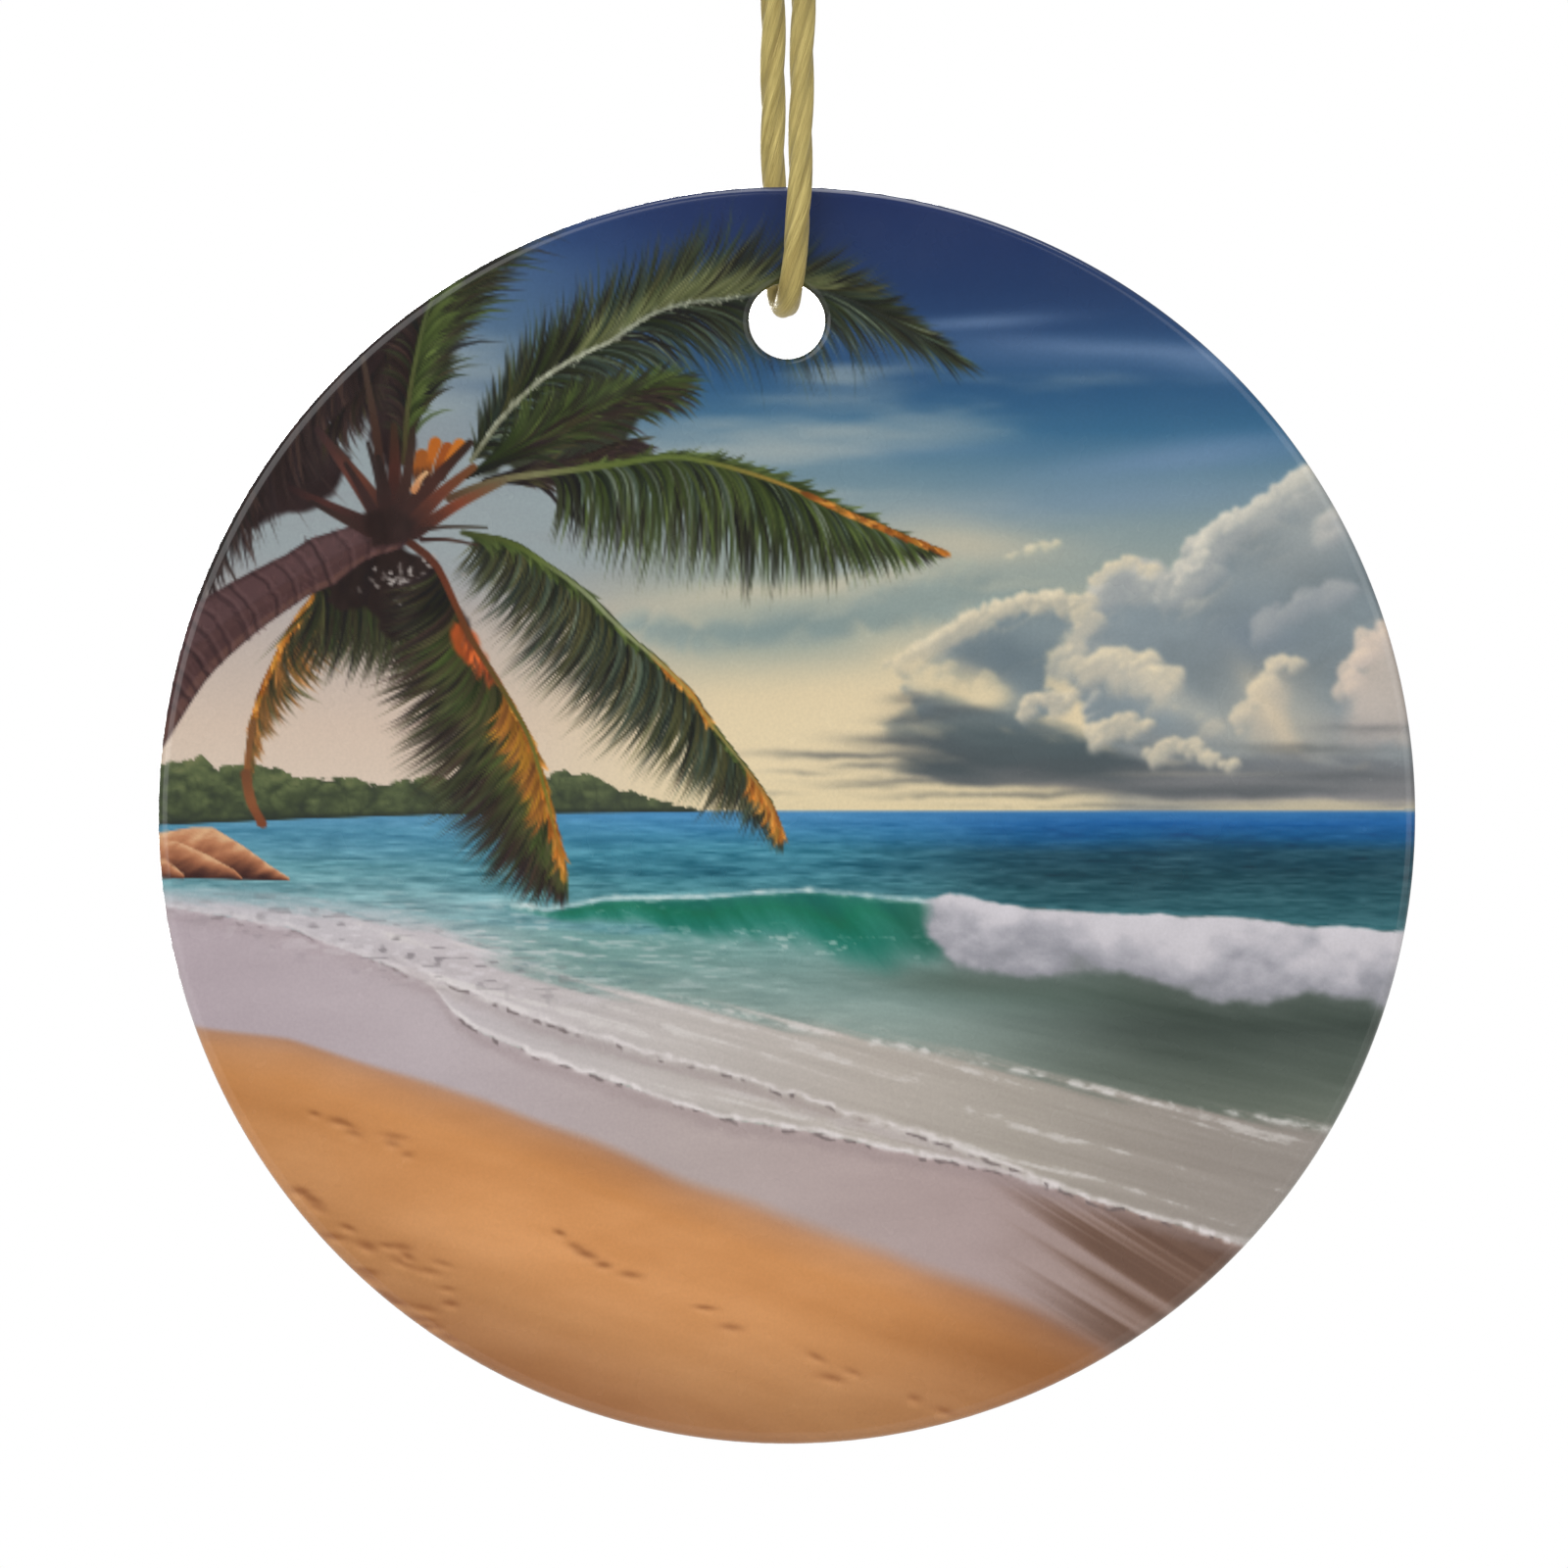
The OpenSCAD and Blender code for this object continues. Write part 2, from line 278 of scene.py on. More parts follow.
    # right column
    cloud(picture, [(27, 7.2), (28.2, 8.6), (29.4, 8.6), (29.8, 7.2), (29.6, 5.2), (31.4, 2.6), (29, 2.6), (26.4, 4.4),
                    (26.4, 6)], (216, 202, 178), (178, 172, 162), 47, 0.4, 1.6, 0.9, 1.3, 0.85, 0.8)
    fringe(picture, [(26, 5), (26.6, 6.6), (27.6, 8), (28.6, 9.2), (29.6, 9)], 0.9, 56, 63, cream, (190, 182, 168), 0.35, 0.85)
    lay(picture, 0.75 * np.exp(-blob(U, V + 0.4 * rough, (28.6, 5), (3.2, 0.55), -58) ** 2), (228, 208, 176))
    lay(picture, 0.5 * np.exp(-blob(U, V + 0.7 * rough, (33.5, 4.6), (3.6, 1.5)) ** 2), (158, 155, 156))
    # grey bases sinking into the bank
    base = 0.8 * smoothstep(6.2, 2.8, V + 1.2 * rough) * smoothstep(15.5, 20, U + rough)
    lay(picture, base * (1 - 0.5 * smoothstep(22, 27, U)), (142, 144, 142))
    lay(picture, 0.5 * np.exp(-blob(U, V + 0.6 * rough, (28.6, 5.4), (3.6, 2.6), -50) ** 2), (206, 192, 168))
    lay(picture, 0.45 * np.exp(-blob(U, V + 0.5 * rough, (22.4, 6.8), (5.2, 0.9), -28) ** 2), (206, 198, 180))


def heads(picture):
    """Small lit cloud heads in front of the dark bank."""
    for points, radius, count, seed in (
        ([(13.6, 5.9), (14, 6.8), (15, 7), (16, 6.6)], 0.75, 60, 64),
        ([(17.7, 4.3), (18.1, 5.1), (19.1, 5.6), (20.4, 5.3)], 0.8, 80, 65),
        ([(21, 3.6), (21.8, 4.2), (23, 4.3), (24.4, 3.7), (25.4, 3.2)], 0.7, 80, 66),
    ):
        fringe(picture, points, radius, count, seed, (234, 218, 186), (168, 166, 156), 0.3)


def dark_bank(picture):
    """The flat dark cloud bank over the sea, ragged and streaked at its left end."""
    rough = fractal(U, V + 0.12 * U, 6, 1.1, 61, 5)
    fine = fractal(U, V, 2.6, 0.5, 66, 4)
    upper = line([(3, 2.8), (5.5, 4.6), (7, 6.6), (9, 6.9), (11, 6.6), (14, 5.7), (18, 4.6), (22, 3.6), (27, 3.1), (37, 3.4)], U)
    lower = line([(3, 2.2), (8, 1.9), (16, 1.4), (26, 0.9), (37, 0.6)], U)
    body = smoothstep(-0.5, 0.7, upper + 1.3 * rough + 0.5 * fine - V) * smoothstep(-0.2, 0.35, V - lower + 0.55 * rough)
    body *= smoothstep(3.6, 8.6, U + 4.2 * rough + 1.6 * fine + 0.3 * (V - 4))
    tint = ramp(V + 0.8 * rough + 0.4 * fine, {0.8: (126, 124, 124), 2.0: (100, 104, 107), 3.0: (68, 80, 86), 4.2: (78, 92, 98),
                                               5.2: (98, 110, 114), 6.8: (112, 124, 125)})
    lift = smoothstep(16, 29, U)[..., None]
    tint = tint * (1 - lift) + (0.35 * tint + 0.65 * np.array((142, 142, 146))) * lift
    lay(picture, 0.95 * body, tint)
    streaks = (
        ((3.6, 3.5), (4.4, 0.18), 0.85), ((6.6, 4.4), (3, 0.4), 0.8), ((8.5, 3.6), (3, 0.7), 0.6), ((7.5, 5.6), (2, 0.25), 0.6), ((1, 2.5), (2.2, 0.1), 0.4),
        ((7.4, 1.9), (4.4, 0.16), 0.7), ((4.4, 1.6), (2.2, 0.1), 0.55), ((7.4, 6.7), (1.5, 0.3), 0.6), ((9.4, 6.1), (2.4, 0.35), 0.6), ((13, 1.2), (6, 0.14), 0.7), ((30, 3.9), (4, 0.25), 0.5),
        ((26, 1.4), (9, 0.35), 0.75), ((32, 2.2), (5, 0.4), 0.6), ((-0.8, 1.15), (1.3, 0.08), 0.35), ((5, 2.9), (2.4, 0.13), 0.6),
        ((34, 5), (3, 0.2), 0.4), ((16, 2.6), (7, 0.5), 0.5), ((18, 0.62), (7, 0.07), 0.6), ((8, 1.0), (2.6, 0.06), 0.5),
    )
    for at, size, strength in streaks:
        lay(picture, strength * np.exp(-blob(U, V + 0.3 * fine, at, size) ** 2), (84, 90, 94))
    for at, size, strength in (((30, 0.8), (8, 0.1), 0.5), ((12, 0.75), (9, 0.12), 0.5), ((24, 2.4), (5, 0.1), 0.25)):
        lay(picture, strength * np.exp(-blob(U, V + 0.12 * fine, at, size) ** 2), (222, 206, 172))


def headland(picture):
    """The wooded point on the left of the horizon."""
    top = line([(-37, 3.0), (-34.6, 3.1), (-34, 3.4), (-33, 2.7), (-31.4, 2.9), (-29.8, 2.7), (-28.2, 2.1), (-25, 2.1), (-23.4, 1.8),
                (-20.9, 2.2), (-17, 1.9), (-14, 2.2), (-12.8, 2.6), (-11.2, 2.2), (-9.5, 1.5), (-7.6, 0.8), (-5, 0.25)], U)
    bottom = line([(-37, -0.6), (-28, -0.2), (-20, 0.05), (-5, 0.2)], U)
    trees = billow(U, V, 1.3, 71, 3)
    leaf = fractal(U, V, 0.7, 0.5, 74, 3)
    cover = smoothstep(-0.06, 0.06, top + 0.5 * (trees - 0.7) - V) * smoothstep(-0.06, 0.06, V - bottom)
    cover *= 1 - smoothstep(-5.6, -4.6, U)
    tone = 0.6 * trees + 0.35 + 0.5 * leaf + 0.14 * (V - 1.2)
    tree = ramp(tone, {0.3: (54, 61, 50), 0.7: (66, 75, 54), 0.95: (80, 90, 62), 1.15: (94, 104, 70), 1.4: (108, 114, 78)})
    hazy = smoothstep(-20, -5, U)[..., None]
    tree = tree * (1 - 0.25 * hazy) + np.array((84, 92, 78)) * 0.25 * hazy
    lay(picture, cover, tree)
    lay(picture, 0.65 * cover * smoothstep(0.4, 0.05, V - bottom), (38, 44, 42))


def sea(picture):
    """The sea from the horizon to the wave, streaked by ripples."""
    ripple = fractal(U, V, 3.4, 0.32, 81, 4)
    broad = fractal(U, V, 9, 0.9, 85, 3)
    depth = V + 0.25 * broad
    right = ramp(depth, {-6.4: (58, 108, 116), -5: (44, 88, 98), -3.4: (36, 74, 86), -2.1: (34, 74, 92), -1.3: (30, 88, 134),
                         -0.5: (34, 96, 158), 0.2: (58, 118, 172)})
    left = ramp(depth, {-6.6: (150, 176, 180), -5.2: (132, 166, 172), -4.2: (112, 156, 164), -3: (88, 140, 152),
                        -2: (88, 143, 163), -1: (80, 138, 164), 0.2: (92, 148, 182)})
    mid = ramp(depth, {-6.4: (96, 148, 154), -4.6: (76, 136, 146), -3.2: (52, 114, 132), -2: (66, 132, 154),
                       -0.9: (66, 132, 168), 0.2: (74, 136, 184)})
    to_mid = smoothstep(-24, -8, U + broad)[..., None]
    to_right = smoothstep(-2, 19, U + 2 * broad)[..., None]
    water = left * (1 - to_mid) + mid * to_mid
    water = water * (1 - to_right) + right * to_right
    strength = np.interp(V, [-6, -3, -0.6, 0.2], [30, 30, 18, 6])[..., None] * (1 - 0.45 * to_right)
    water = water + strength * ripple[..., None] * (0.8, 0.9, 0.85)
    chop = noise(U, V, 1.3, 0.16, 87) + 0.6 * noise(U, V, 0.6, 0.1, 88)
    rough = np.interp(V, [-6.5, -2.5, -0.4, 0.2], [17, 17, 9, 2])[..., None] * (1 - 0.35 * to_right)
    water = water + rough * chop[..., None]
    lay(picture, smoothstep(-0.06, 0.06, HORIZON - V), water)


def shallows(picture):
    """Grey-green water below the wave, and the pale sheet of wash that runs up the beach."""
    streak = fractal(U + 0.4 * V, V + 0.22 * U, 7, 0.5, 91, 5)
    broad = fractal(U, V, 8, 2, 95, 3)
    edge = line([(-36, -4.2), (-30, -4.4), (-24, -5.2), (-20, -6), (-17, -6.4), (-10, -6.8), (0, -6.9), (10, -6.9), (37, -8)], U)
    depth = V + 0.4 * broad
    middle = ramp(depth, {-16: (150, 160, 152), -12: (138, 156, 150), -9.5: (126, 154, 150), -7.6: (112, 152, 148),
                          -6: (108, 158, 158)})
    right = ramp(depth, {-20: (136, 134, 124), -17: (104, 112, 102), -14.4: (84, 94, 86), -12.4: (64, 74, 68),
                         -10: (76, 88, 80), -8: (96, 108, 100)})
    pale = ramp(depth, {-9: (196, 192, 190), -6.8: (178, 186, 190), -5.4: (152, 176, 182), -4: (134, 164, 172)})
    to_middle = smoothstep(-24, -10, U - 1.5 * broad)[..., None]
    to_right = smoothstep(4, 24, U + 1.5 * broad)[..., None]
    water = pale * (1 - to_middle) + middle * to_middle
    water = water * (1 - to_right) + right * to_right
    chop = noise(U, V, 1.5, 0.2, 97) + 0.6 * noise(U, V, 0.7, 0.12, 98)
    water = water + 10 * streak[..., None] + 9 * smoothstep(12, -4, U)[..., None] * chop[..., None]
    lay(picture, smoothstep(-0.2, 0.2, edge - V + 0.2 * broad), water)
    near = np.exp(-blob(U, V, (-16, -7.4), (13, 1.9), -8) ** 2)
    lay(picture, 0.55 * near * smoothstep(0.35, 0.9, chop), (204, 206, 208))
    lay(picture, 0.4 * near * smoothstep(0.4, 1.0, -chop), (92, 126, 134))
    lay(picture, 0.6 * np.exp(-blob(U, V, (11, -9.8), (7, 1.0), -4) ** 2), (74, 88, 78))


def wave(picture):
    """The green face of the wave and its thin white crest."""
    crest = line([(-17, -5.0), (-13.9, -5.6), (-10.6, -4.95), (-5, -4.85), (-0.9, -4.55), (1.5, -4.45), (4.7, -4.75),
                  (9, -5.2)], U)
    foot = line([(-17, -5.4), (-13, -6.2), (-9, -6.5), (-5, -7.1), (0, -7.7), (3, -8.6), (5.6, -9.1), (8, -8.8), (10, -8)], U)
    curl = fractal(U + 0.75 * V, V * 0.35, 1.4, 1.4, 101, 4)
    down = np.clip((crest - V) / np.maximum(crest - foot, 0.2), 0, 1.6)
    face = smoothstep(-0.05, 0.05, crest - V) * (1 - smoothstep(0.62, 1.12, down + 0.16 * curl))
    face *= smoothstep(-17, -12, U) * (1 - smoothstep(8.6, 10.2, U + 0.5 * (V + 6)))
    tint = ramp(down + 0.25 * curl, {0: (34, 108, 98), 0.3: (28, 112, 88), 0.6: (38, 120, 104), 1.0: (78, 138, 128)})
    dark = smoothstep(4, 9, U)[..., None]
    tint = tint * (1 - dark) + np.array((38, 98, 84)) * dark + 16 * curl[..., None]
    lay(picture, face, tint)
    sparkle = fractal(U, V, 0.7, 0.3, 105, 3)
    strip = np.exp(-((V - crest - 0.12) / (0.16 + 0.1 * np.clip(sparkle, 0, 1))) ** 2) * smoothstep(-18, -15, U)
    strip *= (1 - smoothstep(8.4, 9.6, U)) * (0.6 + 0.5 * sparkle)
    lay(picture, np.clip(strip, 0, 0.9), (206, 222, 220))
    bits = smoothstep(0.28, 0.6, sparkle) * np.exp(-blob(U, V, (0, -7.4), (10, 0.8), -2) ** 2)
    lay(picture, 0.55 * bits, (196, 210, 206))
    lay(picture, 0.5 * smoothstep(0.2, 0.6, sparkle) * np.exp(-blob(U, V, (-12.5, -5.3), (4.5, 0.5)) ** 2), (206, 220, 220))


def breaker(picture):
    """The tumbling white foam on the right of the wave."""
    cloud = fractal(U, V, 2.2, 1.5, 111, 5)
    top = line([(7, -5.3), (8.2, -4.8), (9.5, -4.55), (12.5, -5.2), (16.4, -5.5), (19.4, -5.8), (26.4, -5.9), (31.3, -6.5),
                (37, -6.8)], U)
    low = line([(7, -5.8), (8.2, -6.8), (9.9, -8.5), (12.1, -9.2), (16.3, -9.6), (19.4, -8.9), (21, -9.7), (23.4, -10.5),
                (25.4, -11.2), (27.9, -10.8), (30.3, -10.1), (33.3, -10.8), (37, -11.4)], U)
    cover = smoothstep(-0.12, 0.16, top + 0.3 * cloud - V) * smoothstep(-0.3, 0.45, V - low + 0.6 * cloud)
    cover *= smoothstep(7.4, 8.6, U + 0.5 * cloud)
    down = (top - V) / np.maximum(top - low, 0.5)
    tint = ramp(down - 0.62 * cloud, {-0.5: (214, 210, 216), 0.15: (202, 198, 204), 0.5: (176, 174, 182), 0.8: (150, 150, 158),
                                      1.2: (122, 126, 128)})
    lay(picture, smoothstep(-1.5, 0.3, V - low + 0.6 * cloud) * (V < top) * smoothstep(7.6, 10, U) * 0.45, (96, 104, 100))
    lay(picture, cover, tint)


SWASH_TOP = [(-37, -4.6), (-30, -5.2), (-24, -6.1), (-20.5, -6.6), (-16.4, -8.6), (-11.7, -10), (-5.9, -10.8), (0, -12.2),
             (5.6, -13.2), (9.5, -13.9), (15.5, -15.3), (19.4, -16.2), (25.4, -17.2), (31.1, -18.2), (37, -19.4)]
SWASH_LOW = [(-37, -5.1), (-35.8, -5.3), (-29, -6.5), (-23.2, -8.7), (-20.6, -9.8), (-19.4, -11.4), (-17.6, -12.7), (-14, -14.1), (-8.8, -15.9),
             (-3.6, -17.6), (1.6, -18.4), (5.6, -19.3), (11.3, -20.4), (17.1, -22.1), (21.7, -23.5), (27, -25.1), (37, -28)]
SWASH_FOLD = [(-23, -8), (-20.9, -9.2), (-14, -12), (-9.4, -13.4), (-2.5, -15.3), (2.7, -17), (9, -18.9), (13.6, -20.6),
              (16.5, -21.9)]
DRY_EDGE = [(-37, -11.8), (-33.8, -12.5), (-28.9, -13.4), (-23.2, -15.1), (-17.4, -16.7), (-11.7, -18.7), (-5.9, -21),
            (-0.2, -23.2), (5.6, -25.2), (11.3, -27.7), (15.9, -29.8), (19.5, -31.6), (26, -36)]


def beach(picture):
    """Wet lilac sand, brown wet sand on the right and dry orange sand at the bottom left."""
    grain = fractal(U, V, 5, 1.6, 121, 5)
    low = line(SWASH_LOW, U)
    dry = line(DRY_EDGE, U)
    wet = ramp(U, {-36: (178, 164, 171), -20: (184, 172, 176), -6: (179, 165, 163), 11: (173, 154, 152), 20: (158, 136, 128),
                   30: (140, 116, 104)})
    wet = wet + 5 * grain[..., None]
    lay(picture, smoothstep(-0.05, 0.05, low - V), wet)
    # damp shadow that follows the wash, and brown streaks that drain to the lower right
    streak = fractal(U + 1.6 * V, V * 1.2 + 0.75 * U, 9, 0.9, 127, 4)
    brown = smoothstep(11.5, 19, U + 0.35 * (V + 26)) * smoothstep(-0.3, 0.9, low - V) * smoothstep(-0.3, 0.42, streak + 0.07 * (U - 15))
    lay(picture, 0.9 * brown, ramp(streak, {-0.5: (132, 104, 90), 0.0: (108, 81, 67), 0.6: (96, 70, 57)}))
    # dry sand
    edge = dry + 0.5 * fractal(U, V, 9, 9, 131, 2)
    blur = np.interp(U, [-28, -14, 4], [0.35, 0.6, 1.0])
    cover = smoothstep(-0.9, 0.5, (edge - V) / blur)
    below = np.clip(edge - V, 0, 30)
    sand = ramp(below, {0: (180, 136, 108), 0.9: (194, 139, 95), 2.4: (202, 140, 86), 7: (210, 148, 94), 11: (206, 146, 94),
                        15: (190, 130, 84)})
    rim = smoothstep(27, 36.4, np.hypot(U, V))[..., None]
    sand = sand * (1 - 0.17 * rim * smoothstep(-5, -36, V)[..., None]) + 6 * grain[..., None]
    sand = sand + np.array((-16, -16, -12)) * smoothstep(2, 18, U)[..., None]
    dune = fractal(U + 0.8 * V, V + 0.3 * U, 12, 2.2, 133, 4)
    sand = sand + 11 * dune[..., None] + np.array((8, 7, 6)) * np.exp(-blob(U, V, (-17.5, -24.5), (7, 3), -12) ** 2)[..., None]
    lay(picture, cover, sand)


def prints_in_sand(picture):
    """Worn footprints in the dry sand."""
    rng = np.random.default_rng(141)
    trails = (((-27.4, -17.8), (-21.5, -19.2), 7), ((-29, -21.4), (-18.6, -28), 16), ((-28.5, -23.8), (-20.5, -29.8), 10),
              ((-14, -24), (-9, -27), 5), ((-5.4, -28.4), (-2, -29.4), 2), ((1, -30.4), (5, -33), 3), ((7, -34), (10, -34.8), 2),
              ((-26, -27), (-19, -30.6), 8))
    for start, end, count in trails:
        for t in (np.arange(count) + 0.5) / count:
            at = (start[0] + t * (end[0] - start[0]) + rng.normal(0, 0.35), start[1] + t * (end[1] - start[1]) + rng.normal(0, 0.35))
            size = (rng.uniform(0.35, 0.8), rng.uniform(0.12, 0.24))
            d = blob(U, V, at, size, rng.uniform(-28, -4))
            lay(picture, rng.uniform(0.35, 0.75) * np.exp(-d**2), (132, 80, 46))
            d = blob(U, V, (at[0] - 0.1, at[1] - 0.3), size, -15)
            lay(picture, 0.35 * np.exp(-d**2), (222, 164, 112))


def swash(picture):
    """The pale sheet of wash between its upper edge and its lacy leading edge."""
    streak = fractal(U + 1.2 * V, V * 1.1 + 0.3 * U, 6, 0.55, 151, 5)
    lace = fractal(U, V, 0.9, 0.5, 155, 4)
    top, low = line(SWASH_TOP, U), line(SWASH_LOW, U)
    cover = smoothstep(-0.5, 0.5, top - V + 0.8 * streak) * smoothstep(-0.05, 0.05, V - low + 0.1 * lace)
    tint = ramp(U, {-36: (192, 186, 192), -18: (196, 187, 190), -6: (192, 183, 179), 5: (182, 172, 164), 14: (172, 163, 154),
                    24: (156, 147, 140), 32: (150, 142, 136)})
    tint = tint + 13 * streak[..., None]
    lay(picture, 0.93 * cover, tint)
    lay(picture, 0.6 * cover * smoothstep(0.25, 0.6, streak + 0.35 * lace), (212, 207, 204))
    # the upper edge's broken white line
    strip = np.exp(-((V - top + 0.15 * streak) / 0.22) ** 2) * smoothstep(-0.1, 0.5, lace) * smoothstep(-14, -2, U)
    lay(picture, 0.8 * strip, (214, 211, 208))
    # folds and the leading edge: a broken white thread with small dark dashes under it
    for points, strength, from_u, to_u in ((SWASH_LOW, 0.9, -40, 27.5), (SWASH_FOLD, 0.75, -24, 16.5)):
        at = line(points, U)
        ragged = V - at + 0.26 * lace
        inside = smoothstep(from_u, from_u + 3, U) * (1 - smoothstep(to_u - 1, to_u, U))
        inside *= 0.45 + 0.55 * smoothstep(-26, -17, U)
        broken = 0.55 + 0.45 * smoothstep(-0.4, 0.3, noise(U, V, 0.45, 0.9, 158))
        lay(picture, strength * inside * broken * np.exp(-((ragged - 0.1) / 0.18) ** 2), (226, 219, 219))
        dash = smoothstep(-0.05, 0.4, noise(U, V, 0.4, 0.9, 157))
        lay(picture, 0.8 * inside * dash * np.exp(-((ragged + 0.16) / 0.1) ** 2), (96, 86, 86))
        lay(picture, 0.35 * inside * np.exp(-((ragged + 0.5) / 0.4) ** 2) * (V < at), (150, 134, 134))
    # loose dark flecks and pale specks in the foam on the left
    fleck = noise(U, V, 0.8, 0.22, 159)
    zone = np.exp(-blob(U, V + 0.22 * U, (-22, -12.6), (11, 1.5), 0) ** 2)
    lay(picture, 0.6 * zone * smoothstep(0.45, 0.75, fleck), (112, 106, 110))
    lay(picture, 0.6 * zone * smoothstep(0.3, 0.7, -fleck), (216, 210, 214))


def rocks(picture):
    """Warm boulders where the headland meets the beach."""
    for top, low, shade in (
        ([(-37, -1.1), (-34.5, -0.7), (-33.3, -0.7), (-31.5, -1.8), (-30, -2.9), (-28.9, -3.6)], [(-37, -3.6), (-28.9, -3.8)], 0),
        ([(-37, -1.5), (-35.4, -1.5), (-33.6, -2.3), (-32, -3.2), (-31.6, -3.6)], [(-37, -3.3), (-31.6, -3.75)], 0.35),
        ([(-37, -2.4), (-36, -2.6), (-35, -3.4)], [(-37, -3.6), (-35, -3.7)], 0.6),
    ):
        upper, lower = line(top, U), line(low, U)
        grainy = fractal(U + V, V - 0.6 * U, 1.6, 0.5, 161, 3)
        cover = smoothstep(-0.06, 0.06, upper - V) * smoothstep(-0.06, 0.06, V - lower) * (U < top[-1][0])
        down = (upper - V) / np.maximum(upper - lower, 0.3)
        tint = ramp(down + 0.25 * grainy, {0: (214, 170, 130), 0.22: (188, 128, 92), 0.5: (146, 92, 66), 0.8: (88, 54, 44), 1: (58, 36, 34)})
        lay(picture, cover, tint)


def soften(picture):
    """Averages each point with its neighbours, as ink spreads a little in the print."""
    for axis in (0, 1):
        picture[:] = (np.roll(picture, 1, axis) + 2 * picture + np.roll(picture, -1, axis)) / 4


def background():
    picture = sky()
    flat_cloud(picture)
    cumulus(picture)
    dark_bank(picture)
    heads(picture)
    soften(picture)
    sea(picture)
    headland(picture)
    shallows(picture)
    wave(picture)
    breaker(picture)
    beach(picture)
    prints_in_sand(picture)
    swash(picture)
    rocks(picture)
    return picture


CROWN = (-22.9, 16.6)


def stroke(picture, points, widths, colours, opacity=1.0):
    """Paints a curved stroke: points run along it, with a half width and a colour at each."""
    pad = max(widths) + PITCH
    lows, highs = points.min(axis=0) - pad, points.max(axis=0) + pad
    rows, columns = window(lows[0], highs[0], lows[1], highs[1])
    u, v = U[rows, columns], V[rows, columns]
    if u.size == 0:
        return
    a, b = points[:-1, None, None], points[1:, None, None]
    along = b - a
    x, y = u - a[..., 0], v - a[..., 1]
    t = np.clip((x * along[..., 0] + y * along[..., 1]) / ((along**2).sum(axis=-1) + 1e-9), 0, 1)
    away = np.hypot(x - t * along[..., 0], y - t * along[..., 1])
    half = widths[:-1, None, None] * (1 - t) + widths[1:, None, None] * t
    cover = np.clip((half - away) / PITCH + 0.5, 0, 1) * np.minimum(1, 2.2 * half / PITCH)
    best = cover.argmax(axis=0)[None]
    cover = np.take_along_axis(cover, best, 0)[0]
    t = np.take_along_axis(t, best, 0)[0]
    shade = colours[best[0]] * (1 - t[..., None]) + colours[best[0] + 1] * t[..., None]
    part = picture[rows, columns]
    part += (opacity * cover)[..., None] * (shade - part)


def smooth(points, count):
    """Evenly spaced places on a smooth curve through the points."""
    p = np.asarray(points, float)
    p = np.vstack([2 * p[0] - p[1], p, 2 * p[-1] - p[-2]])
    places = []
    for k in range(1, len(p) - 2):
        for t in np.linspace(0, 1, 12, endpoint=k == len(p) - 3):
            a, b, c, d = p[k - 1 : k + 3]
            places.append(b + (c - a) * t / 2 + (2 * a - 5 * b + 4 * c - d) * t**2 / 2 + (3 * b - a - 3 * c + d) * t**3 / 2)
    places = np.array(places)
    run = np.concatenate([[0], np.cumsum(np.hypot(*np.diff(places, axis=0).T))])
    at = np.linspace(0, run[-1], count)
    return np.stack([np.interp(at, run, places[:, 0]), np.interp(at, run, places[:, 1])], axis=-1)


def at_stops(stops, t):
    where, values = zip(*stops)
    return np.interp(t, where, values)


LEAF = np.linspace(0, 1, 7)
LEAF_SHAPE = np.array([0.55, 0.95, 1.0, 0.9, 0.7, 0.42, 0.06])

DARK = ((28, 26, 24), (38, 38, 28), (46, 48, 34), (56, 60, 40))
GREEN = ((36, 42, 26), (50, 60, 32), (64, 78, 38), (84, 98, 50), (54, 66, 36))
OLIVE = ((44, 38, 30), (58, 54, 36), (72, 72, 44), (88, 86, 54), (58, 46, 34))
BROWN = ((38, 29, 30), (48, 36, 34), (60, 45, 40), (44, 33, 32))
ORANGE = ((150, 84, 30), (186, 112, 40), (206, 140, 62), (128, 70, 30), (172, 120, 46))
TEAL = ((36, 44, 40), (50, 62, 52), (74, 88, 72), (40, 48, 40), (112, 124, 104))


def leaflets(picture, rachis, count, lengths, aims, colours, seed, width=0.12, follow=0.4, spread=9, span=(0, 1), tip=None):
    """One side of a frond: many narrow leaves that leave the rachis along it and turn to their aim."""
    rng = np.random.default_rng(seed)
    path = smooth(rachis, 200)
    turn = np.gradient(path, axis=0)
    turn /= np.hypot(*turn.T)[:, None]
    order = np.linspace(span[1], span[0], count) + rng.normal(0, 0.004, count)
    for t in np.clip(order, 0, 1):
        k = int(round(t * 199))
        reach = at_stops(lengths, t) * rng.uniform(0.72, 1.12)
        aim = np.radians(at_stops(aims, t) + rng.normal(0, spread))
        base = path[k]
        end = base + reach * np.array((np.cos(aim), np.sin(aim)))
        bend = base + follow * reach * turn[k] + 0.12 * (end - base)
        s = LEAF[:, None]
        points = (1 - s) ** 2 * base + 2 * s * (1 - s) * bend + s**2 * end
        colour = np.array(colours[rng.integers(len(colours))], float) * rng.uniform(0.8, 1.2)
        tips = colour * 1.08 + 6 if tip is None else np.array(tip, float) * rng.uniform(0.8, 1.15)
        fade = LEAF[:, None] ** 2.5
        shade = (colour * 0.72) * (1 - LEAF[:, None]) + colour * LEAF[:, None]
        shade = shade * (1 - fade) + tips * fade
        stroke(picture, points, width * rng.uniform(0.7, 1.35) * LEAF_SHAPE, shade, rng.uniform(0.75, 1.0))


